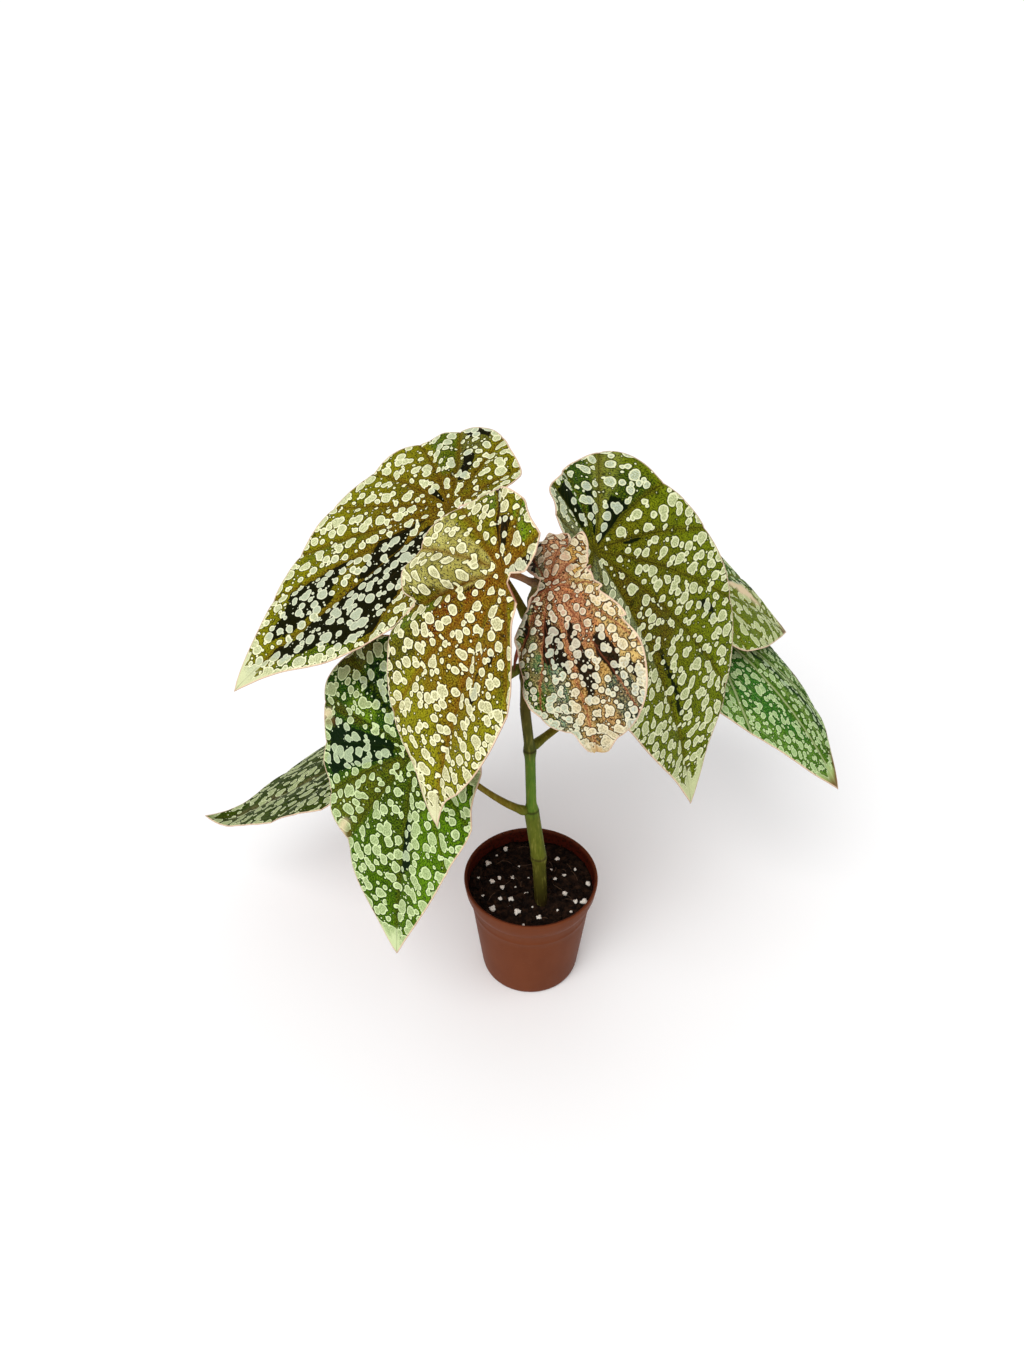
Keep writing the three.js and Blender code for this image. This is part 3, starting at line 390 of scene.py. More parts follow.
def paint(code):
    """sRGB hex to linear colour"""
    channels = [int(code[i:i + 2], 16) / 255 for i in (1, 3, 5)]
    linear = [c / 12.92 if c <= 0.04045 else ((c + 0.055) / 1.055) ** 2.4 for c in channels]
    return (*linear, 1.0)


def smooth(low, high, value):
    share = np.clip((value - low) / (high - low), 0, 1)
    return share * share * (3 - 2 * share)


def colour_property(name, description, code):
    return bpy.props.FloatVectorProperty(
        name=name, description=description, subtype="COLOR", size=4, min=0, max=1, default=paint(code))


def size_property(name, description, default):
    return bpy.props.FloatProperty(
        name=name, description=description, subtype="DISTANCE", unit="LENGTH", min=0, default=default * MM)


class BegoniaSizes(bpy.types.PropertyGroup):
    """Sizes of the fine detail"""
    blade_thickness: size_property("Blade thickness", "Thickness of a leaf blade", 0.5)
    vein_width: size_property("Vein width", "Width of a main vein's groove", 1.1)
    margin_width: size_property("Margin width", "Width of the pale line along the leaf edge", 0.55)
    large_spot: size_property("Large spot spacing", "Mean distance between large spots", 7.0)
    middle_spot: size_property("Middle spot spacing", "Mean distance between middling spots", 5.8)
    small_spot: size_property("Small spot spacing", "Mean distance between small spots", 4.4)
    dot: size_property("Dot spacing", "Mean distance between the finest dots", 2.2)
    spokes: bpy.props.IntProperty(name="Spokes", description="Spokes of a leaf mesh", default=300, min=60)
    rings: bpy.props.IntProperty(name="Rings", description="Rings of a leaf mesh", default=58, min=10)


class BegoniaColours(bpy.types.PropertyGroup):
    """Colours that are shared by the whole plant"""
    pot: colour_property("Pot", "Terracotta-coloured plastic", "#67351d")
    # The inside colour is also laid at part strength over the inner half of the lip's top, there as painted
    # shade.
    pot_inside: colour_property("Pot inside", "Darker, soil-stained inside of the pot", "#46170d")
    mix: colour_property("Potting mix", "Damp peat and bark", "#170d08")
    # Also used as a painted highlight over the raised parts of the mix's surface.
    dry_mix_and_highlight: colour_property("Dry crumbs", "Drier crumbs and fibres in the mix", "#3a2618")
    perlite: colour_property("Perlite", "Expanded white mineral grains", "#f4eee2")
    underside: colour_property("Leaf underside", "Dusty burgundy of the leaf backs", "#8a4f46")
    margin: colour_property("Leaf margin", "Pale pinkish line along the leaf edge", "#e2c3a8")


class BegoniaStage(bpy.types.PropertyGroup):
    """Floor and lights"""
    floor: colour_property("Floor", "Plain pale floor", "#fafafa")
    sun: bpy.props.FloatProperty(
        name="Large lamp", description="Strength of the main light", default=2.0, min=0)
    softness: bpy.props.FloatProperty(
        name="Lamp size", description="Angle that the main light spans", subtype="ANGLE",
        default=math.radians(46))
    sky: bpy.props.FloatProperty(name="Surround", description="Strength of the surround", default=0.68, min=0)


def node(tree, kind, inputs=None, out=0, **settings):
    """Adds a node with its settings, sets or links its inputs, and gives one of its outputs"""
    made = tree.nodes.new("ShaderNode" + kind)
    for key, value in settings.items():
        setattr(made, key, value)
    for key, value in (inputs or {}).items():
        if isinstance(value, bpy.types.NodeSocket):
            tree.links.new(value, made.inputs[key])
        else:
            made.inputs[key].default_value = value
    return made.outputs[out] if len(made.outputs) else made


def blank_material(name):
    """A material with an empty node tree"""
    made = bpy.data.materials.new(name)
    made.use_nodes = True
    made.node_tree.nodes.clear()
    return made, made.node_tree


def surface(tree, gloss, inputs):
    """Ends a material: its gloss and inputs on a principled shader, joined to the output"""
    shader = node(tree, "BsdfPrincipled", {**GLOSS[gloss], **inputs})
    node(tree, "OutputMaterial", {"Surface": shader})


def coated(tree, colour, coats, **settings):
    """Coats over a ground, in order: [pattern, where it starts, where it is full, how full, colour]"""
    for pattern, start, full, most, coat in coats:
        amount = node(tree, "MapRange", {0: pattern, 1: start, 2: full, 3: 0.0, 4: most}, **settings)
        colour = node(tree, "Mix", {0: amount, 6: colour, 7: coat}, 2, data_type="RGBA")
    return colour


def per_metre(key):
    """Scale of a pattern on Object coordinates"""
    return 1 / (GRAIN[key] * MM)


def leaf_skin(number, skin, sizes, colours):
    """Living begonia leaf: matt satin cuticle over spotted tissue, ochre along the veins, near-black panels
    between them, blister-like silver spots with a brighter rim and a dark outline, pinkish margin, dull
    burgundy back"""
    made, tree = blank_material("begonia leaf %d, satin cuticle" % number)
    read = {key: node(tree, "Attribute", out="Fac", attribute_name=key) for key in FIELDS}
    tissue = node(tree, "Attribute", out="Color", attribute_name="tissue")
    silver = node(tree, "Attribute", out="Color", attribute_name="silver")
    uv = node(tree, "UVMap", uv_map="flat_leaf")
    flat = node(tree, "VectorMath", {0: uv, "Scale": UV_MM}, operation="SCALE")
    drift = node(tree, "TexNoise", {"Vector": flat, "Scale": 1 / GRAIN["spot drift"], "Detail": 1.0}, "Color")
    drift = node(tree, "VectorMath", {0: drift, 1: (0.5, 0.5, 0.5)}, operation="SUBTRACT")
    warped = node(tree, "VectorMath", {0: drift, 1: (0.8, 0.8, 0), 2: flat}, operation="MULTIPLY_ADD")

    # Spots: round the nearest point of each scatter, less that spot's own radius, in millimetres
    spread = skin.get("spread", 1.0)
    stretch = (1, skin.get("stretch", 1.0), 1)
    field = None
    for i, (key, smallest, largest, random, turn) in enumerate(SCATTERS):
        spacing = getattr(sizes, key) * spread / MM
        largest += skin.get("dots", 0.0) if key == "dot" else 0.0
        inputs = {0: warped, 1: (number * 7.3 + i * 41, i * 17.9 + 3, 0), 2: (0, 0, turn), 3: stretch}
        place = node(tree, "Mapping", inputs)
        inputs = {"Vector": place, "Scale": 1 / spacing, "Randomness": random}
        cells = node(tree, "TexVoronoi", inputs, voronoi_dimensions="2D").node.outputs
        chance = node(tree, "SeparateColor", {0: cells["Color"]})
        radius = node(tree, "MapRange", {0: chance, 3: -smallest * spread, 4: -largest * spread})
        away = node(tree, "Math", {0: cells["Distance"], 1: spacing, 2: radius}, operation="MULTIPLY_ADD")
        if field is None:
            field = away
        else:
            field = node(tree, "Math", {0: field, 1: away, 2: SPOT_BLEND}, operation="SMOOTH_MIN")
    field = node(tree, "Math", {0: field, 1: read["bare"]}, operation="ADD")

    # Noise of three sizes, and what is torn by it: the ochre band along each vein and the dark panels.
    # The cuticle's cells are about 0.1 mm, and are drawn at over 0.5 mm to show, as is the dark pepper.
    broad, torn, fine = (
        node(tree, "TexNoise", {"Vector": vector, "Scale": 1 / GRAIN[key], "Detail": 3.0})
        for key, vector in (("leaf mottle", flat), ("torn panels", warped), ("cuticle", flat)))
    band = node(tree, "Math", {0: torn, 1: 3.0, 2: read["vein"]}, operation="MULTIPLY_ADD")
    deep = node(tree, "Math", {0: torn, 1: 0.9, 2: read["dark"]}, operation="MULTIPLY_ADD")
    width = sizes.margin_width / MM
    half = skin.get("line", 0.42)
    # How much each coat shows: [pattern, from, to, amount at the first, amount at the second]
    ramps = {
        "spot": (field, -0.08, 0.08, 1.0, 0.0),
        "rim": (field, -0.62, -0.28, 0.0, 0.9),
        "outline": (field, 0.1, 0.55, skin.get("outline", 0.72), 0.0),
        "shade": (broad, 0.42, 0.66, 0.0, 0.5),
        "band": (band, 1.9, 1.5 + skin.get("band", 2.0), 0.5, 0.0),
        "panel": (deep, 0.83, 1.02, 0.0, 0.97),
        "fleck": (torn, 0.6, 0.68, 0.0, 0.6),
        "pepper": (fine, 0.53, 0.6, 0.0, 0.8),
        "glow": (fine, 0.47, 0.36, 0.0, 0.45),
        "grit": (fine, 0.42, 0.58, 1.0, 0.0),
        "midline": (read["vein"], half * 0.3, half, 0.5, 0.0),
        "thread": (read["branch"], 0.08, 0.36, 0.35, 0.0),
        "margin": (read["edge"], width * 0.4, width * 1.3, 0.9, 0.0),
        "mottle": (broad, 0.35, 0.65, 0.0, 1.0),
        "back_vein": (read["vein"], 0.3, 1.0, 0.8, 0.0),
        "back_thread": (read["branch"], 0.1, 0.6, 0.5, 0.0),
        "rough": (field, -0.3, 0.3, 0.62, 0.56),
    }
    for key, values in ramps.items():
        read[key] = node(tree, "MapRange", dict(enumerate(values)), interpolation_type="SMOOTHSTEP")
    products = (("cool", "panel", 0.4), ("tipline", "midline", read["tip"]), ("ghost", "spot", 0.35))
    for key, first, second in products:
        read[key] = node(tree, "Math", {0: read[first], 1: second}, operation="MULTIPLY")

    # Each look is a stack of coats over a ground: its ramp, and the skin's colour or a hex value
    stacks = {
        "ground": (tissue, (
            ("shade", "shade"), ("band", "warm"), ("glow", "lime"), ("fleck", "dark"), ("pepper", "dark"),
            ("panel", "dark"), ("outline", "dark"), ("midline", "vein"), ("thread", "vein"))),
        "spots": (silver, (("grit", "grey"), ("rim", "rim"), ("cool", "#a8b4a8"))),
        "back": (colours.underside, (
            ("mottle", "#7a5a44"), ("ghost", "#b79a80"), ("back_vein", "#a86a52"),
            ("back_thread", "#a06650"))),
    }
    looks = {}
    for look, (colour, coats) in stacks.items():
        for key, code in coats:
            coat = paint(skin.get(code, code))
            colour = node(tree, "Mix", {0: read[key], 6: colour, 7: coat}, 2, data_type="RGBA")
        looks[look] = colour
    top = looks["ground"]
    spots = node(tree, "Mix", {0: skin.get("stain", 0.08), 6: looks["spots"], 7: tissue}, 2, data_type="RGBA")
    for key, coat in (("spot", spots), ("tip", paint(skin["tip"])), ("tipline", paint(skin["vein"])),
                      ("scar", paint("#6a4424")), ("peach", paint("#e0caa4")), ("margin", colours.margin),
                      ("under", looks["back"])):
        top = node(tree, "Mix", {0: read[key], 6: top, 7: coat}, 2, data_type="RGBA")
    # The cuticle's cells and the slightly blistered spots
    height = node(tree, "Math", {0: read["spot"], 1: 0.35, 2: fine}, operation="MULTIPLY_ADD")
    bump = node(tree, "Bump", {"Strength": 0.3, "Distance": 0.12 * MM, "Height": height})
    surface(tree, "leaf", {"Base Color": top, "Roughness": read["rough"], "Normal": bump})
    return made


def monotone(xs, ys, x):
    """Monotone cubic through the given points"""
    xs = np.array(xs, float)
    ys = np.array(ys, float)
    slopes = np.diff(ys) / np.diff(xs)
    tangents = np.empty(len(xs))
    tangents[0] = slopes[0]
    tangents[-1] = slopes[-1]
    for i in range(1, len(xs) - 1):
        flat = slopes[i - 1] * slopes[i] <= 0
        tangents[i] = 0 if flat else 2 * slopes[i - 1] * slopes[i] / (slopes[i - 1] + slopes[i])
    i = np.clip(np.searchsorted(xs, x, side="right") - 1, 0, len(xs) - 2)
    step = xs[i + 1] - xs[i]
    u = np.clip((x - xs[i]) / step, 0, 1)
    start = (2 * u ** 3 - 3 * u ** 2 + 1) * ys[i] + (u ** 3 - 2 * u ** 2 + u) * step * tangents[i]
    return start + (3 * u ** 2 - 2 * u ** 3) * ys[i + 1] + (u ** 3 - u ** 2) * step * tangents[i + 1]


def side_of(leaf, is_big):
    """One side of a leaf: the angle that it spans, and where its main veins stand, from 0 to the span"""
    side = "big" if is_big else "small"
    span = leaf[side + "_span"]
    return span, [0, *leaf[side + "_veins"], span]


def side_reach(leaf, is_big, angle):
    """Reach of the edge at an angle from the midrib"""
    reaches = leaf["big"] if is_big else leaf["small"]
    shares = leaf.get("big_shares", BIG_SHARES) if is_big else SMALL_SHARES
    span, _ = side_of(leaf, is_big)
    angles = [0] + [share * span for share in shares] + [LAST_SHARE * span, span]
    inverse = [1 / reach for reach in [leaf["length"], *reaches, reaches[-1] * LAST_FALL, NOTCH_REACH]]
    reach = 1 / monotone(angles, inverse, angle)
    signed = angle if is_big else -angle
    for centre, depth, half in leaf.get("notches", []):
        reach = reach * (1 - depth * np.exp(-((signed - centre) / half) ** 2))
    return reach


def relief(leaf, angle, share, is_big):
    """Panels between the veins, waved edge and long creases, as the solid has them"""
    veins = np.array(side_of(leaf, is_big)[1], float)
    i = np.clip(np.searchsorted(veins, angle, side="right") - 1, 0, len(veins) - 2)
    across = np.clip((angle - veins[i]) / (veins[i + 1] - veins[i]), 0, 1)
    panel = 4 * across * (1 - across)
    height = leaf["quilt"] * (panel - 0.5) * smooth(0.08, 0.5, share)
    tall, count, phase = leaf["wave"]
    turn = angle if is_big else -angle
    height = height + tall * smooth(4, 30, angle) * share ** 3 * np.sin(np.radians(count * turn + phase))
    if is_big:
        for centre, rise, half in leaf["pleats"]:
            height = height + rise * (1 - smooth(0, half, np.abs(angle - centre))) * smooth(0.1, 0.7, share)
    return height


def travel(start, rate, distance):
    """Forward and upward travel along an arc"""
    safe = np.where(np.abs(rate) < 1e-7, 1e-7, rate)
    forward = (np.sin(start + safe * distance) - np.sin(start)) / safe
    return forward, (np.cos(start + safe * distance) - np.cos(start)) / safe


def placed(leaf, x, y, lift):
    """Flat leaf coordinates to the bent and turned blade, in millimetres"""
    length = leaf["length"]
    body_length = BODY_SHARE * length
    shares = (BODY_SHARE, LOBE_SHARE, TIP_SHARE)
    front, back, tip = (math.radians(bend) / (share * length) for bend, share in zip(leaf["arch"], shares))
    body_x = np.clip(x, 0, body_length)
    tip_x = np.maximum(0, x - body_length)
    back_x = np.maximum(0, -x)
    body = travel(0, front, body_x)
    end = travel(front * body_length, tip, tip_x)
    rear = travel(0, back, back_x)
    along = body[0] + end[0] - rear[0]
    up = body[1] + end[1] + rear[1]
    tilt = front * body_x + tip * tip_x - back * back_x
    fade = smooth(-0.22 * length, 0.12 * length, x)
    big = y > 0
    fold = np.radians(np.where(big, *leaf["fold"])) * fade
    curl = np.radians(np.where(big, *leaf["curl"])) / (0.5 * length)
    sideways, drop = travel(fold, curl, np.abs(y))
    local = fold + curl * np.abs(y)
    in_plane = -drop - lift * np.cos(local)
    px = along - in_plane * np.sin(tilt)
    pz = up - in_plane * np.cos(tilt)
    py = np.where(big, 1, -1) * (sideways + lift * np.sin(local))
    py = (py + leaf["sweep"] * length * np.clip(x / length, 0, 1) ** 2) * leaf["hand"]
    roll, pitch, heading = (math.radians(leaf[key]) for key in ("roll", "pitch", "heading"))
    y1 = math.cos(roll) * py + math.sin(roll) * pz
    z1 = -math.sin(roll) * py + math.cos(roll) * pz
    x2 = math.cos(pitch) * px + math.sin(pitch) * z1
    z2 = -math.sin(pitch) * px + math.cos(pitch) * z1
    x3 = math.cos(heading) * x2 - math.sin(heading) * y1
    y3 = math.sin(heading) * x2 + math.cos(heading) * y1
    return np.stack([x3, y3, z2], -1) + np.array(leaf["joint"])


def search_tree(points):
    tree = kdtree.KDTree(len(points))
    for i, point in enumerate(points):
        tree.insert(point, i)
    tree.balance()
    return tree


def nearest(points, samples):
    """Distance from each point to the nearest sample, in the flat leaf"""
    tree = search_tree([(x, y, 0) for x, y in samples])
    return np.array([tree.find((x, y, 0))[2] for x, y in points])


def spoke_angles(leaf, is_big, count):
    """Angles of one side's spokes, with one on every main vein and closer ones towards the notch"""
    span, stops = side_of(leaf, is_big)
    angles = []
    for i in range(len(stops) - 1):
        width = stops[i + 1] - stops[i]
        last = i == len(stops) - 2
        number = max(3, round(count * width / span * (1.3 if last else 1)))
        steps = np.arange(1, number + 1) / number
        if last:
            steps = 1 - (1 - steps) ** 1.4
        angles.extend(stops[i] + width * steps)
    return np.array(angles)


def flat_point(leaf, is_big, angle, share):
    """Flat coordinates of a share of a spoke; spokes bend towards the tip as the veins do"""
    span, _ = side_of(leaf, is_big)
    turn = np.radians(angle + VEIN_BEND * np.sin(np.pi * angle / span) * (1 - share))
    radius = side_reach(leaf, is_big, angle) * share
    return radius * np.cos(turn), radius * np.sin(turn) * (1 if is_big else -1)


def branch_samples(leaf, is_big, seed):
    """Points along the side veins, which leave the main veins towards the edge"""
    _, stops = side_of(leaf, is_big)
    points = []
    draw = np.random.default_rng(seed)
    for i, angle in enumerate(stops[:-1]):
        for side in (1, -1):
            if side < 0 and i == 0:
                continue
            gap = stops[i + 1] - angle if side > 0 else angle - stops[i - 1]
            for start in BRANCH_STARTS:
                begin = start + draw.uniform(-0.03, 0.03)
                run = min(0.26, 1 - begin)
                t = np.linspace(0, 1, 50)
                x, y = flat_point(leaf, is_big, angle + side * 0.5 * gap * t, begin + run * t ** 1.15)
                points.extend(zip(x, y))
    return points


def soft_box(value, low, high, soft):
    return smooth(low - soft, low + soft, value) * (1 - smooth(high - soft, high + soft, value))


def slow_noise(flat, scale, seed, shift=(0, 0)):
    """Noise over the flat leaf, in cells to the millimetre"""
    places = flat * scale + np.array(shift)
    return np.array([noise.noise(Vector((x, y, seed))) for x, y in places])


def leaf_grid(leaf, sizes):
    """Flat grid of a leaf: points, their relief, angle and share of the reach, and the number in a ring"""
    big = spoke_angles(leaf, True, round(sizes.spokes * BIG_SPOKES))
    small = spoke_angles(leaf, False, round(sizes.spokes * (1 - BIG_SPOKES)))
    sides = [(np.array([0.0]), True), (big, True), (small[::-1], False)]
    rows = [(np.zeros((1, 2)), np.zeros(1), np.zeros(1), np.zeros(1))]
    for share in (np.arange(1, sizes.rings + 1) / sizes.rings) ** 0.92:
        for angles, is_big in sides:
            x, y = flat_point(leaf, is_big, angles, share)
            lift = smooth(4, 10, np.hypot(x, y)) * relief(leaf, angles, share, is_big)
            signed = angles if is_big else -angles
            rows.append((np.stack([x, y], -1), lift, signed, np.full(len(angles), share)))
    return *(np.concatenate(column) for column in zip(*rows)), 1 + len(big) + len(small)


def washed(colour, code, mask):
    """A colour at each point, taken towards another by a mask"""
    return colour + (np.array(paint(code)) - colour) * mask[:, None]


def leaf_fields(number, flat, signed, share, count):
    """What the skin reads at each point: distances in millimetres, zones, and ground and spot colours"""
    leaf = LEAVES[number]
    skin = SKINS[number]
    veins = []
    t = np.linspace(0, 1, 260)
    for is_big, first in ((True, 0), (False, 1)):
        for angle in side_of(leaf, is_big)[1][first:-1]:
            veins.extend(zip(*flat_point(leaf, is_big, np.full(len(t), float(angle)), t)))
    branches = branch_samples(leaf, True, number) + branch_samples(leaf, False, number + 50)
    rim = flat[-count:]
    outline = []
    for first, second in zip(rim, np.roll(rim, -1, 0)):
        steps = max(1, int(np.hypot(*(second - first)) / EDGE_STEP))
        outline.extend(tuple(first + (second - first) * k / steps) for k in range(steps))
    fields = {"vein": nearest(flat, veins), "branch": nearest(flat, branches), "edge": nearest(flat, outline)}
    for kind in ("dark", "scar", "peach", "clear"):
        fields[kind] = np.zeros(len(flat))
    ground, spots = (np.tile(paint(skin[key]), (len(flat), 1)) for key in ("centre", "spot"))
    colours = {"tissue": washed(ground, skin["edge"], smooth(0.35, 0.95, share)), "silver": spots}
    turned = slow_noise(flat, ZONE_NOISE, number * 5.7)
    pushed = slow_noise(flat, ZONE_NOISE, number * 5.7 + 40, (9, 3))
    for target, zones in (("tissue", skin["zones"]), ("silver", skin.get("tints", []))):
        for kind, low, high, near, far, strength in zones:
            across = soft_box(signed + ZONE_TURN * turned * share, low, high, ZONE_SOFT)
            far = far if far < 1 else 2.0
            mask = across * soft_box(share + ZONE_PUSH * pushed, near, far, ZONE_FADE) * strength
            if kind in fields:
                fields[kind] = np.maximum(fields[kind], mask)
            else:
                colours[target] = washed(colours[target], kind, mask)
    # Pale tip: spots run together there, past a lobed border
    length = leaf["length"]
    forward = flat[:, 0]
    lobes = TIP_LOBES[0] * length * np.cos(flat[:, 1] * 0.9) + TIP_LOBES[1] * length * pushed
    tip_from = skin.get("tip_from", 0.88)
    tip = smooth(tip_from * length, (tip_from + TIP_FADE) * length, forward + lobes)
    fields["tip"] = tip * 0.75
    # Bare is what each spot's radius loses: along veins, but not near the edge and the tip, where spots crowd
    vein, branch, edge = fields["vein"], fields["branch"], fields["edge"]
    clear = skin.get("clear", 1.2) * (1 - smooth(0.3, 1.9, vein)) + 0.25 * (1 - smooth(0.1, 1.0, branch))
    crowd = 0.12 * smooth(8, 2, edge) + 0.3 * smooth(1.8, 0.6, edge)
    crowd = crowd + 0.15 * smooth(0.7 * length, 0.86 * length, forward) - fields.pop("clear")
    fields["bare"] = clear * (1 - tip) - crowd - 2.5 * tip - skin.get("bigger", 0.0)
    return fields, colours


def fan_faces(count, rings, flip):
    """Triangles of a leaf grid: a fan round the joint, then rings of cut squares"""
    here = np.arange(count)
    after = (here + 1) % count
    faces = [np.stack([0 * here, 1 + here, 1 + after], 1)]
    for ring in range(1, rings):
        inner = 1 + (ring - 1) * count
        outer = inner + count
        pair = [inner + here, outer + here, outer + after, inner + here, outer + after, inner + after]
        faces.append(np.stack(pair, 1).reshape(-1, 3))
    faces = np.concatenate(faces)
    return faces[:, [0, 2, 1]] if flip else faces


def point_normals(points, faces):
    corner = [points[faces[:, k]] for k in range(3)]
    across = np.cross(corner[1] - corner[0], corner[2] - corner[0])
    normals = np.zeros_like(points)
    for k in range(3):
        np.add.at(normals, faces[:, k], across)
    return normals / np.linalg.norm(normals, axis=1)[:, None]


def triangle_piece(name, points, triangles):
    """A smooth piece from points in millimetres and triangles"""
    mesh = bpy.data.meshes.new(name)
    mesh.vertices.add(len(points))
    mesh.vertices.foreach_set("co", (points * MM).ravel())
    mesh.loops.add(len(triangles) * 3)
    mesh.loops.foreach_set("vertex_index", triangles.ravel())
    mesh.polygons.add(len(triangles))
    mesh.polygons.foreach_set("loop_start", np.arange(len(triangles)) * 3)
    mesh.polygons.foreach_set("loop_total", np.full(len(triangles), 3))
    mesh.update(calc_edges=True)
    mesh.validate()
    mesh.shade_smooth()
    piece = bpy.data.objects.new(name, mesh)
    bpy.context.collection.objects.link(piece)
    return piece


def store(mesh, name, values, kind="FLOAT"):
    """Keeps a number or a colour for each point, for the materials to read"""
    layer = mesh.attributes.new(name, kind, "POINT").data
    layer.foreach_set("value" if kind == "FLOAT" else "color", values)


def make_leaf(number):
    """A leaf blade: made another way, in mesh code, because its form comes from the solid's own formula"""
    leaf = LEAVES[number]
    skin = SKINS[number]
    sizes = bpy.context.scene.begonia_sizes
    flat, lift, signed, share, count = leaf_grid(leaf, sizes)
    fields, colours = leaf_fields(number, flat, signed, share, count)
    vein, branch, edge = fields["vein"], fields["branch"], fields["edge"]
    vein_half = sizes.vein_width / MM / 2
    groove = np.exp(-(vein / vein_half) ** 2) * smooth(0, 0.1, share)
    thread = np.exp(-(branch / (0.8 * vein_half)) ** 2) * smooth(0.1, 0.3, share)
    pillow = PILLOW * smooth(0.2, 2.6, np.minimum(branch, vein)) * smooth(0.1, 0.3, share) * smooth(0, 3, edge)
    rough = slow_noise(flat, 0.09, number * 3.3) + 0.4 * slow_noise(flat, 0.26, number)
    rough = skin.get("crumple", 0.25) * rough * smooth(0.05, 0.4, share)
    middle = placed(leaf, flat[:, 0], flat[:, 1], lift + pillow + rough)
    faces = fan_faces(count, sizes.rings, leaf["hand"] < 0)
    normals = point_normals(middle, faces)
    thin = sizes.blade_thickness / MM / 2 * (0.55 + 0.45 * smooth(0, 1.2, edge))
    upper = middle + normals * (thin - GROOVE[0] * groove - THREAD[0] * thread)[:, None]
    lower = middle - normals * (thin + GROOVE[1] * groove * (1 - 0.7 * share) + THREAD[1] * thread)[:, None]
    shift = len(middle)
    here = shift - count + np.arange(count)
    after = np.roll(here, -1)
    if leaf["hand"] < 0:
        here, after = after, here
    walls = [np.stack([here, here + shift, after], 1), np.stack([after, here + shift, after + shift], 1)]
    triangles = np.concatenate([faces, faces[:, [0, 2, 1]] + shift, *walls])
    piece = triangle_piece("begonia_leaf_%d" % number, np.concatenate([upper, lower]), triangles)
    mesh = piece.data
    both = np.concatenate([flat, flat])
    layer = mesh.uv_layers.new(name="flat_leaf")
    layer.data.foreach_set("uv", (both[triangles.ravel()] / UV_MM).ravel())
    for key, values in fields.items():
        store(mesh, key, np.concatenate([values, values]))
    store(mesh, "under", np.repeat([0.0, 1.0], shift))
    for key, colour in colours.items():
        store(mesh, key, np.concatenate([colour, colour]).ravel(), "FLOAT_COLOR")
    mesh.materials.append(leaf_skin(number, skin, sizes, bpy.context.scene.begonia_colours))
    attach(piece, "root")
    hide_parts("leaf_%d" % number)


def cane_line(height):
    """Centre of the cane at heights: its rows joined by straight lines, then eased"""
    fine = np.arange(CANE[0][2], CANE[-1][2] + 0.1, 0.5)
    rows = np.array(CANE, float)
    weights = np.hanning(2 * CANE_EASE + 3)[1:-1]
    weights /= weights.sum()
    line = []
    for axis in (0, 1):
        raw = np.interp(fine, rows[:, 2], rows[:, axis])
        eased = np.convolve(np.pad(raw, CANE_EASE, mode="edge"), weights, "valid")
        line.append(np.interp(height, fine, eased))
    return np.stack([*line, height], -1)


def cane_radius(height):
    """Slim stretches with a swollen collar and a fine ring at each node"""
    radius = np.zeros(len(height))
    for i, z in enumerate(height):
        row = max(k for k in range(len(CANE)) if CANE[k][2] <= z + 1e-6)
        row = min(row, len(CANE) - 2)
        _, _, low, node_radius, above = CANE[row]
        _, _, high, next_radius, _ = CANE[row + 1]
        rise = z - low
        fall = high - z
        value = above
        value += (node_radius - above) * math.exp(-(rise / SWELLING) ** 2) * (row > 0)
        value += (next_radius - above) * math.exp(-(fall / SWELLING) ** 2)
        groove = min(abs(rise - RING_RISE), abs(fall + RING_RISE)) if row > 0 else 9
        radius[i] = value - RING_DEPTH * math.exp(-(groove / RING_WIDTH) ** 2)
    return radius


def close_up():
    """Merges doubles and points the faces outwards"""
    bpy.ops.object.mode_set(mode="EDIT")
    bpy.ops.mesh.select_all(action="SELECT")
    bpy.ops.mesh.remove_doubles(threshold=1e-6)
    bpy.ops.mesh.normals_make_consistent(inside=False)
    bpy.ops.object.mode_set(mode="OBJECT")


def tubes(name, lines, radius, sides):
    """Tubes along lines of [points, shares of the radius]: a curve with a round bevel, made a mesh"""
    bpy.ops.object.select_all(action="DESELECT")
    bpy.ops.curve.primitive_nurbs_path_add()
    bpy.context.object.name = name
    curve = bpy.context.object.data
    curve.splines.clear()
    for points, shares in lines:
        line = curve.splines.new("POLY")
        line.points.add(len(points) - 1)
        for target, point, share in zip(line.points, points, shares):
            target.co = (*(np.array(point) * MM), 1)
            target.radius = share
    curve.dimensions = "3D"
    curve.bevel_depth = radius * MM
    curve.bevel_resolution = sides // 2 - 2
    curve.use_fill_caps = True
    bpy.ops.object.convert(target="MESH")
    close_up()
    piece = bpy.context.object
    piece.data.shade_smooth()
    return piece


def mesh_points(mesh):
    """Points of a mesh, in millimetres"""
    points = np.empty(len(mesh.vertices) * 3)
    mesh.vertices.foreach_get("co", points)
    return points.reshape(-1, 3) / MM


def stem(name, centres, radii, sides):
    """One tube; its attribute 'along' runs from 0 to 1"""
    piece = tubes(name, [(centres, radii)], 1.0, sides)
    tree = search_tree(centres)
    along = np.array([tree.find(point)[1] for point in mesh_points(piece.data)]) / (len(centres) - 1)
    store(piece.data, "along", along)
    return piece


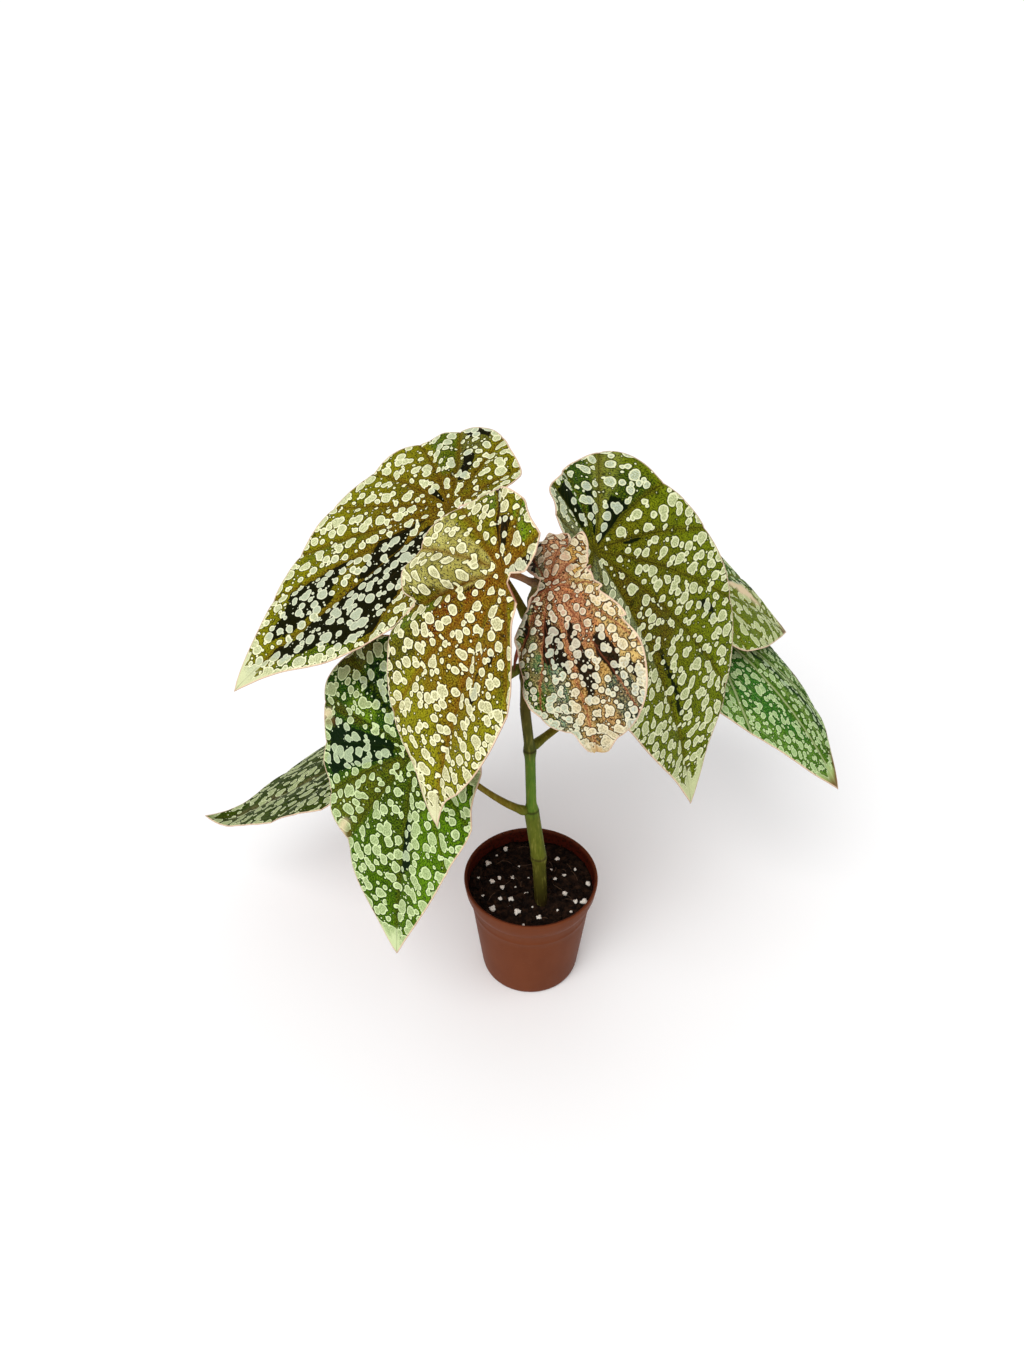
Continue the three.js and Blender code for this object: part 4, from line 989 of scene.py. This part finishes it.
def stem_skin(name, stops):
    """Young begonia stem: thin waxy skin over juicy tissue, coloured along its length, with corky streaks"""
    made, tree = blank_material(name)
    along = node(tree, "Attribute", out="Fac", attribute_name="along")
    joint = node(tree, "Attribute", out="Fac", attribute_name="joint")
    colour = node(tree, "ValToRGB", {0: along})
    band = colour.node.color_ramp.elements
    for end, (share, code) in ((band[0], stops[0]), (band[1], stops[-1])):
        end.position = share
        end.color = paint(code)
    for share, code in stops[1:-1]:
        band.new(share).color = paint(code)
    place = node(tree, "TexCoord", out="Object")
    streak = node(tree, "Mapping", {0: place, 3: [1 / (size * MM) for size in STEM_STREAK]})
    streaks = node(tree, "TexNoise", {"Vector": streak, "Scale": 1.0, "Detail": 3.0})
    coats = ((streaks, 0.5, 0.75, 0.5, paint("#8f8a40")), (streaks, 0.46, 0.28, 0.3, paint("#24260c")))
    colour = coated(tree, colour, coats, interpolation_type="SMOOTHSTEP")
    colour = node(tree, "Mix", {0: joint, 6: colour, 7: paint("#2a1a0c")}, 2, data_type="RGBA")
    bump = node(tree, "Bump", {"Strength": 0.4, "Distance": 0.15 * MM, "Height": streaks})
    surface(tree, "stem", {"Base Color": colour, "Normal": bump})
    return made


def unit(vector):
    return vector / np.linalg.norm(vector)


def stalk_path(leaf):
    """Line of a stalk from the middle of its node to the blade, as the solid runs"""
    height = CANE[leaf["node"]][2] + STALK["above_node"]
    middle = cane_line(np.array([float(height)]))[0]
    joint = np.array(leaf["joint"])
    base, raised = placed(leaf, np.zeros(2), np.zeros(2), np.array([0.0, 1.0]))
    up = unit(raised - base)
    reach = np.linalg.norm(joint - middle)
    chord = unit(joint - middle)
    outward = unit(chord * (1, 1, 0))
    leave = unit(chord * STALK_LEAVE[0] + outward * STALK_LEAVE[1])
    slope = math.sqrt(max(0, 1 - float(leave @ outward) ** 2))
    start = middle + outward * (CANE[leaf["node"]][3] + GAP + STALK["root"] * slope - leaf["seat"])
    arrive = unit(chord * STALK_ARRIVE[0] + up * STALK_ARRIVE[1])
    end_slope = math.sqrt(max(0, 1 - float(arrive @ up) ** 2))
    end = joint - up * (BLADE_SOLID / 2 + GAP + STALK["end"] * end_slope)
    first = start + leave * reach * STALK_KEEP[0] + np.array([0, 0, leaf["rise"]])
    second = end - arrive * reach * STALK_KEEP[1]
    t = np.linspace(0, 1, 56)
    curve = np.stack([(1 - t) ** 3, 3 * (1 - t) ** 2 * t, 3 * (1 - t) * t * t, t ** 3], -1)
    inner = start - leave * STALK_SUNK[0]
    outer = end + arrive * (GAP + STALK["end"] * end_slope + STALK_SUNK[1])
    line = np.concatenate([inner[None], curve @ np.stack([start, first, second, end]), outer[None]])
    radii = STALK["root"] + (STALK["end"] - STALK["root"]) * smooth(0, 0.35, t)
    radii *= 1 + 0.25 * np.exp(-(t / 0.03) ** 2) + 0.12 * np.exp(-((1 - t) / 0.03) ** 2)
    return line, np.concatenate([[STALK["root"] * 1.1], radii, [STALK["end"] * 0.7]])


def noise_field(x, y, scale, seed):
    return np.array([noise.fractal(Vector((a * scale, b * scale, seed)), 0.9, 2.0, 3) for a, b in zip(x, y)])


def soil_height(x, y):
    """Height of the potting mix, as the solid has it"""
    lumps = np.sin(0.55 * x + 0.9) * np.cos(0.47 * y - 0.4) + 0.6 * np.sin(0.31 * (x + y) + 1.7)
    away = np.hypot(x - SOIL["stem"][0], y - SOIL["stem"][1])
    mound = 1 - smooth(0, SOIL["mound_radius"], away)
    return SOIL["level"] + SOIL["lump"] * 0.6 * lumps + SOIL["mound"] * mound


def inner_radius(height):
    """Inner radius of the pot at a height"""
    rows = POT_SIDE[:POT_LIP_ROW + 1]
    return float(np.interp(height, [row[1] for row in rows], [row[0] for row in rows])) - POT_WALL


def mix_skin(colours):
    """Damp peat with bark: near-black brown crumbs, drier ones lighter, a painted highlight on the raised
    parts, no gloss
    """
    made, tree = blank_material("peat potting mix, damp")
    place = node(tree, "TexCoord", out="Object")
    crumbs = node(tree, "TexVoronoi", {"Vector": place, "Scale": per_metre("crumb")}).node.outputs
    chance = node(tree, "SeparateColor", {0: crumbs["Color"]})
    grain = node(tree, "TexNoise", {"Vector": place, "Scale": per_metre("peat grain"), "Detail": 5.0})
    patch = node(tree, "TexNoise", {"Vector": place, "Scale": per_metre("damp patch"), "Detail": 2.0})
    raised_highlight = node(tree, "Attribute", out="Fac", attribute_name="raised_highlight")
    colour = coated(tree, colours.mix, (
        (patch, 0.52, 0.66, 0.5, paint("#2e1a10")), (chance, 0.5, 1.0, 0.75, colours.dry_mix_and_highlight),
        # The first coat on this line is a painted highlight: the lighter colour over the raised parts of the
        # surface.
        (raised_highlight, 0.35, 0.9, 0.55, colours.dry_mix_and_highlight), (grain, 0.62, 0.36, 0.8, paint("#070302"))))
    height = node(tree, "Math", {0: crumbs["Distance"], 1: grain}, operation="ADD")
    bump = node(tree, "Bump", {"Strength": 0.9, "Distance": 0.5 * MM, "Height": height})
    surface(tree, "mix", {"Base Color": colour, "Normal": bump})
    return made


def perlite_skin(colours):
    """Perlite: glass foam grains, chalky white with tiny open cells and a dusting of peat"""
    made, tree = blank_material("perlite, expanded mineral")
    place = node(tree, "TexCoord", out="Object")
    cells = node(tree, "TexVoronoi", {"Vector": place, "Scale": per_metre("foam cell")}).node.outputs
    dust = node(tree, "TexNoise", {"Vector": place, "Scale": per_metre("peat dust"), "Detail": 3.0})
    colour = coated(tree, colours.perlite, [(dust, 0.55, 0.78, 0.5, paint("#a58a6c"))])
    bump = node(tree, "Bump", {"Strength": 0.6, "Distance": 0.2 * MM, "Height": cells["Distance"]})
    surface(tree, "perlite", {"Base Color": colour, "Normal": bump})
    return made


def fibre_skin(colours):
    """Coir: dull brown plant fibre, each strand a little lighter or darker along its length"""
    made, tree = blank_material("coir fibre, dry")
    place = node(tree, "TexCoord", out="Object")
    tone = node(tree, "TexNoise", {"Vector": place, "Scale": per_metre("fibre tone")})
    colour = coated(tree, colours.dry_mix_and_highlight, [(tone, 0.35, 0.65, 1.0, paint("#54391f"))])
    surface(tree, "fibre", {"Base Color": colour})
    return made


def pot_skin(colours):
    """Moulded polypropylene in terracotta brown: satin, with flow streaks, scuffs and peat dust inside"""
    made, tree = blank_material("terracotta-coloured polypropylene, moulded")
    place = node(tree, "TexCoord", out="Object")
    streak = node(tree, "Mapping", {0: place, 3: [1 / (size * MM) for size in POT_STREAK]})
    flow = node(tree, "TexNoise", {"Vector": streak, "Scale": 1.0, "Detail": 3.0})
    cloud = node(tree, "TexNoise", {"Vector": place, "Scale": per_metre("plastic cloud"), "Detail": 2.0})
    scuff = node(tree, "TexNoise", {"Vector": place, "Scale": per_metre("scuff"), "Detail": 4.0})
    inside = node(tree, "Attribute", out="Fac", attribute_name="inside")
    dust = node(tree, "MapRange", {0: scuff, 1: 0.5, 2: 0.62, 3: 0.0, 4: 0.8})
    dust = node(tree, "Math", {0: dust, 1: inside}, operation="MULTIPLY")
    colour = coated(tree, colours.pot, (
        (flow, 0.35, 0.7, 0.22, paint("#733e25")), (cloud, 0.4, 0.7, 0.25, paint("#512614")),
        (scuff, 0.62, 0.75, 0.3, paint("#7c4830"))))
    for amount, coat in ((inside, colours.pot_inside), (dust, paint("#1c100a"))):
        colour = node(tree, "Mix", {0: amount, 6: colour, 7: coat}, 2, data_type="RGBA")
    bump = node(tree, "Bump", {"Strength": 0.25, "Distance": 0.08 * MM, "Height": scuff})
    surface(tree, "pot", {"Base Color": colour, "Normal": bump})
    return made


def floor_skin(stage):
    """Matt white board, with a faint cloud"""
    made, tree = blank_material("pale matt floor")
    place = node(tree, "TexCoord", out="Object")
    cloud = node(tree, "TexNoise", {"Vector": place, "Scale": per_metre("floor cloud")})
    colour = coated(tree, stage.floor, [(cloud, 0.3, 0.7, 0.3, paint("#f6f6f6"))])
    surface(tree, "floor", {"Base Color": colour})
    return made


def draw_up(name, vertices, profile):
    """A disc drawn along a profile of [radius, height] by extruding and resizing"""
    bpy.ops.object.select_all(action="DESELECT")
    radius, height = profile[0]
    bpy.ops.mesh.primitive_circle_add(
        vertices=vertices, radius=radius * MM, fill_type="NGON", location=(0, 0, height * MM))
    piece = bpy.context.object
    piece.name = name
    bpy.ops.object.transform_apply(location=True)
    bpy.ops.object.mode_set(mode="EDIT")
    for next_radius, next_height in profile[1:]:
        rise = (0, 0, (next_height - height) * MM)
        bpy.ops.mesh.extrude_region_move(TRANSFORM_OT_translate={"value": rise})
        grow = next_radius / radius
        bpy.ops.transform.resize(value=(grow, grow, 1), center_override=(0, 0, next_height * MM))
        radius, height = next_radius, next_height
    close_up()
    return piece


class BEGONIA_OT_pot(bpy.types.Operator):
    """Add the nursery pot: a disc drawn up the outer side, over the lip and down the inner side"""
    bl_idname = "begonia.pot"
    bl_label = "Pot"

    def execute(self, context):
        low, high = COLLAR_STEP
        inner = [(r - POT_WALL, z) for r, z in POT_SIDE[:POT_LIP_ROW] if z > INNER_FROM and not low < z < high]
        inside_foot = [(20.9, POT_FLOOR + 0.5), (20.3, POT_FLOOR)]
        piece = draw_up("nursery_pot", 160, POT_SIDE + [INNER_LIP] + inner[::-1] + inside_foot)
        for i in range(DRAIN["count"]):
            turn = 2 * math.pi * (i + 0.5) / DRAIN["count"]
            x, y = DRAIN["circle"] * math.cos(turn), DRAIN["circle"] * math.sin(turn)
            bpy.ops.object.select_all(action="DESELECT")
            bpy.ops.mesh.primitive_cylinder_add(
                vertices=40, radius=DRAIN["radius"] * MM, depth=8 * MM, location=(x * MM, y * MM, 0))
            cutter = context.object
            cut = piece.modifiers.new("drain", "BOOLEAN")
            cut.object = cutter
            cut.operation = "DIFFERENCE"
            cut.solver = "EXACT"
            bpy.ops.object.select_all(action="DESELECT")
            piece.select_set(True)
            context.view_layer.objects.active = piece
            bpy.ops.object.modifier_apply(modifier=cut.name)
            bpy.data.objects.remove(cutter)
        mesh = piece.data
        inside = []
        for x, y, z in mesh_points(mesh):
            r = math.hypot(x, y)
            wall = inner_radius(min(z, 55)) + 0.35
            # Painted shade: the inner half of the lip's top takes the inside colour at 0.55, so that only its
            # outer edge stays bright.
            lip = 0.55 if z > MOUTH and r < 29.5 else 0.0
            inside.append(1.0 if 0.6 < z < MOUTH and r < wall else lip)
        store(mesh, "inside", inside)
        bpy.ops.object.shade_smooth_by_angle(angle=math.radians(38))
        mesh.materials.append(pot_skin(context.scene.begonia_colours))
        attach(piece, "root")
        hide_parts("pot")
        return {"FINISHED"}


class BEGONIA_OT_mix(bpy.types.Operator):
    """Add the potting mix: a disc drawn in towards the cane, its crumbs, fibres and perlite grains"""
    bl_idname = "begonia.mix"
    bl_label = "Potting mix"

    def execute(self, context):
        colours = context.scene.begonia_colours
        edge = inner_radius(49) - 0.05
        level = 48.6
        profile = [(20.2, 1.5), (21.4, 4), (25.15, 36.5), (26.15, 45), (26.75, 46.6), (27.4, 47.8)]
        profile.append((edge, level))
        profile += [(edge * (1 - i / (MIX_RINGS + 1)), level) for i in range(1, MIX_RINGS + 1)]
        piece = draw_up("potting_mix", 150, profile)
        mesh = piece.data
        points = mesh_points(mesh)
        top = points[:, 2] > level - 0.1
        x, y = points[top, 0], points[top, 1]
        away = np.hypot(x, y)
        coarse = 0.9 * noise_field(x, y, 0.3, 4.0) + 0.55 * noise_field(x, y, 0.85, 9.0)
        fade = 0.35 + 0.65 * smooth(edge, edge - 1.5, away)
        points[top, 2] = soil_height(x, y) + coarse * fade - 0.5 * smooth(edge - 2.0, edge, away)
        mesh.vertices.foreach_set("co", (points * MM).ravel())
        # Painted highlight: the raised parts of the surface are marked here for the lighter colour.
        raised_highlight = np.zeros(len(points))
        raised_highlight[top] = np.clip(0.5 + 0.6 * coarse, 0, 1)
        store(mesh, "raised_highlight", raised_highlight)
        mesh.update()
        mesh.shade_smooth()
        skin = mix_skin(colours)
        mesh.materials.append(skin)
        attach(piece, "root")
        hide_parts("soil")
        self.add_crumbs(skin)
        self.add_fibres(colours)
        self.add_perlite(colours)
        return {"FINISHED"}

    def add_lumps(self, name, lumps, subdivisions, rough, skin):
        """Copies of one ball, each crumpled its own way; lumps are (x, y, z, radius, flatness)"""
        bpy.ops.object.select_all(action="DESELECT")
        bpy.ops.mesh.primitive_ico_sphere_add(subdivisions=subdivisions, radius=1.0)
        base = bpy.context.object
        ball = np.array([v.co[:] for v in base.data.vertices])
        faces = np.array([p.vertices[:] for p in base.data.polygons])
        bpy.data.objects.remove(base)
        points, polygons = [], []
        draw = np.random.default_rng(len(lumps))
        for i, (x, y, z, radius, flat) in enumerate(lumps):
            seed = draw.uniform(0, 90, 3)
            bulge = np.array([noise.noise(Vector(p * 1.4 + seed)) for p in ball])
            bulge += 0.5 * np.array([noise.noise(Vector(p * 3.1 + seed)) for p in ball])
            shape = ball * (1 + rough * bulge)[:, None] * np.array([1, draw.uniform(0.65, 0.95), flat])
            turn = draw.uniform(0, math.pi)
            spin = np.array(
                [[math.cos(turn), -math.sin(turn), 0], [math.sin(turn), math.cos(turn), 0], [0, 0, 1]])
            points.append(shape @ spin.T * radius + np.array([x, y, z]))
            polygons.append(faces + i * len(ball))
        piece = triangle_piece(name, np.concatenate(points), np.concatenate(polygons))
        piece.data.materials.append(skin)
        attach(piece, "root")

    def clear_of_cane(self, x, y):
        return math.hypot(x - SOIL["stem"][0], y - SOIL["stem"][1]) > CANE_CLEARANCE

    def spot_on_mix(self, draw, reach):
        """A random place on the potting mix"""
        turn, away = draw.uniform(0, 2 * math.pi), reach * math.sqrt(draw.uniform(0, 1))
        return away * math.cos(turn), away * math.sin(turn), away

    def add_crumbs(self, skin):
        draw = np.random.default_rng(11)
        lumps = []
        while len(lumps) < CRUMB_COUNT:
            radius = draw.uniform(0.35, 1.25) ** 1.3
            x, y, away = self.spot_on_mix(draw, CRUMB_REACH[0])
            if self.clear_of_cane(x, y) and away + radius < CRUMB_REACH[1]:
                z = float(soil_height(x, y)) + 0.15
                lumps.append((x, y, z, radius, draw.uniform(0.4, 0.8)))
        self.add_lumps("mix_crumbs", lumps, 2, 0.6, skin)

    def add_perlite(self, colours):
        """Each grain is three angular lumps grown together"""
        draw = np.random.default_rng(3)
        lumps = []
        for x, y, radius in GRAINS + SMALL_GRAINS:
            radius *= 0.85
            z = float(soil_height(x, y)) + radius * 0.35 + 0.15
            turn = draw.uniform(0, 2 * math.pi)
            for i in range(3):
                away = radius * draw.uniform(0.2, 0.42)
                angle = turn + i * 2.1
                part = radius * draw.uniform(0.5, 0.72)
                rise = draw.uniform(-0.2, 0.3) * radius
                lumps.append((x + away * math.cos(angle), y + away * math.sin(angle), z + rise, part, 0.85))
        self.add_lumps("perlite_grains", lumps, 3, 0.8, perlite_skin(colours))

    def add_fibres(self, colours):
        """Short bent fibres that arch over the crumbs"""
        draw = np.random.default_rng(5)
        steps = 8
        lines = []
        while len(lines) < FIBRE_COUNT:
            x, y, _ = self.spot_on_mix(draw, FIBRE_REACH[0])
            if not self.clear_of_cane(x, y):
                continue
            heading, bend, length = draw.uniform(0, 6.3), draw.uniform(-0.16, 0.16), draw.uniform(3, 7)
            points = []
            for i in range(steps + 1):
                points.append((x, y, float(soil_height(x, y)) + 0.55 + 0.7 * math.sin(i / steps * math.pi)))
                heading += bend * draw.uniform(0.2, 1.4)
                x += math.cos(heading) * length / steps
                y += math.sin(heading) * length / steps
            inside = [math.hypot(x, y) <= FIBRE_REACH[1] and self.clear_of_cane(x, y) for x, y, _ in points]
            if not all(inside):
                continue
            shares = [draw.uniform(0.8, 1.2) * (0.6 if i in (0, steps) else 1) for i in range(steps + 1)]
            lines.append((points, shares))
        piece = tubes("mix_fibres", lines, 0.13, 6)
        piece.data.materials.append(fibre_skin(colours))
        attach(piece, "root")


class BEGONIA_OT_cane(bpy.types.Operator):
    """Add the cane with its swollen nodes, and the withered bract"""
    bl_idname = "begonia.cane"
    bl_label = "Cane"

    def execute(self, context):
        height = np.arange(CANE[0][2], CANE[-1][2] + 0.01, 0.55)
        piece = stem("begonia_cane", cane_line(height), cane_radius(height), 24)
        # A dark ring above each node, but not at the row that only shapes a stretch
        nodes = np.array([row[2] for row in CANE[2:12] if row[2] != 152])
        gap = np.abs(mesh_points(piece.data)[:, 2][:, None] - nodes - RING_RISE).min(1)
        store(piece.data, "joint", 0.75 * np.exp(-(gap / 0.5) ** 2))
        skin = stem_skin("begonia cane, waxy skin", [
            (0.12, "#2a1d0e"), (0.16, "#35300e"), (0.25, "#4c4c14"), (0.27, "#5a601a"), (0.36, "#5c661e"),
            (0.385, "#5a7a26"), (0.5, "#587828"), (0.53, "#4f5620"), (0.62, "#544e1c"), (0.8, "#55481a"),
            (1.0, "#746c3a")])
        piece.data.materials.append(skin)
        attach(piece, "root")
        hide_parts("cane")
        t = np.linspace(0, 1, 26)
        root, tip = np.array(BRACT["root"]), np.array(BRACT["tip"])
        line = root + (tip - root) * t[:, None]
        line[:, 0] -= 0.5 * np.sin(t * math.pi)
        widths = BRACT["width"] / 2 * np.interp(t, [0, 0.12, 0.45, 0.75, 1], [0.5, 0.95, 0.8, 0.45, 0.08])
        bract = stem("withered_bract", line, widths, 12)
        dry = stem_skin("withered bract, papery", [(0.2, "#8f4436"), (0.9, "#5e3024")])
        bract.data.materials.append(dry)
        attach(bract, "root")
        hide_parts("bract")
        return {"FINISHED"}


class BEGONIA_OT_stalks(bpy.types.Operator):
    """Add the leaf stalks"""
    bl_idname = "begonia.stalks"
    bl_label = "Leaf stalks"

    def execute(self, context):
        olive = stem_skin(
            "leaf stalk, golden olive skin", [(0.0, "#5c6420"), (0.12, "#6f6018"), (1.0, "#7c5c14")])
        rosy = stem_skin(
            "leaf stalk, pinkish skin", [(0.0, "#5f5a22"), (0.2, "#7c5a34"), (1.0, "#95603f")])
        for number, leaf in LEAVES.items():
            line, radii = stalk_path(leaf)
            piece = stem("leaf_stalk_%d" % number, line, radii, 16)
            piece.data.materials.append(rosy if number in (2, 3) else olive)
            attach(piece, "root")
            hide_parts("stalk_%d" % number)
        return {"FINISHED"}


class BEGONIA_OT_leaves(bpy.types.Operator):
    """Add the eight spotted leaves"""
    bl_idname = "begonia.leaves"
    bl_label = "Leaves"

    def execute(self, context):
        for number in LEAVES:
            make_leaf(number)
        return {"FINISHED"}


class BEGONIA_OT_stage(bpy.types.Operator):
    """Add the pale floor, the soft lights and the camera"""
    bl_idname = "begonia.stage"
    bl_label = "Stage"

    def execute(self, context):
        stage = context.scene.begonia_stage
        bpy.ops.object.select_all(action="DESELECT")
        bpy.ops.mesh.primitive_plane_add(size=16, location=(0, 0, 0))
        floor = context.object
        floor.name = "floor"
        floor.data.materials.append(floor_skin(stage))
        aim = Vector(LAMP_AIM)
        turn = aim.to_track_quat("-Z", "Y").to_euler()
        bpy.ops.object.light_add(type="SUN", location=-aim, rotation=turn)
        lamp = context.object
        lamp.name = "large_lamp"
        lamp.data.energy = stage.sun
        lamp.data.angle = stage.softness
        world = bpy.data.worlds.new("even surround")
        world.use_nodes = True
        background = world.node_tree.nodes["Background"]
        background.inputs["Color"].default_value = (1, 1, 1, 1)
        background.inputs["Strength"].default_value = stage.sky
        context.scene.world = world
        bpy.ops.object.camera_add(location=CAMERA_PLACE, rotation=(math.radians(CAMERA_TILT), 0, 0))
        camera = context.object
        camera.data.sensor_width = SENSOR
        camera.data.lens = SENSOR * FOCAL_PIXELS / PHOTO_HEIGHT
        camera.data.clip_start = 0.01
        context.scene.camera = camera
        context.scene.view_settings.view_transform = "Standard"
        context.scene.view_settings.look = "None"
        return {"FINISHED"}


GROUPS = {"begonia_sizes": BegoniaSizes, "begonia_colours": BegoniaColours, "begonia_stage": BegoniaStage}
PIECES = (
    BEGONIA_OT_stage, BEGONIA_OT_pot, BEGONIA_OT_mix, BEGONIA_OT_cane, BEGONIA_OT_stalks, BEGONIA_OT_leaves,
)


class BEGONIA_PT_panel(bpy.types.Panel):
    """Lists the begonia's pieces"""
    bl_idname = "BEGONIA_PT_panel"
    bl_label = "Begonia"
    bl_space_type = "VIEW_3D"
    bl_region_type = "UI"
    bl_category = "Begonia"

    def draw(self, context):
        for name in GROUPS:
            group = getattr(context.scene, name)
            for key in group.__annotations__:
                self.layout.prop(group, key)
        for piece in PIECES:
            self.layout.operator(piece.bl_idname)


CLASSES = (*GROUPS.values(), *PIECES, BEGONIA_PT_panel)


def register():
    for item in CLASSES:
        bpy.utils.register_class(item)
    for name, group in GROUPS.items():
        setattr(bpy.types.Scene, name, bpy.props.PointerProperty(type=group))


def unregister():
    for name in GROUPS:
        delattr(bpy.types.Scene, name)
    for item in reversed(CLASSES):
        bpy.utils.unregister_class(item)


def main():
    register()
    bpy.ops.begonia.stage()
    bpy.ops.begonia.pot()
    bpy.ops.begonia.mix()
    bpy.ops.begonia.cane()
    bpy.ops.begonia.stalks()
    bpy.ops.begonia.leaves()


if __name__ == "__main__":
    main()
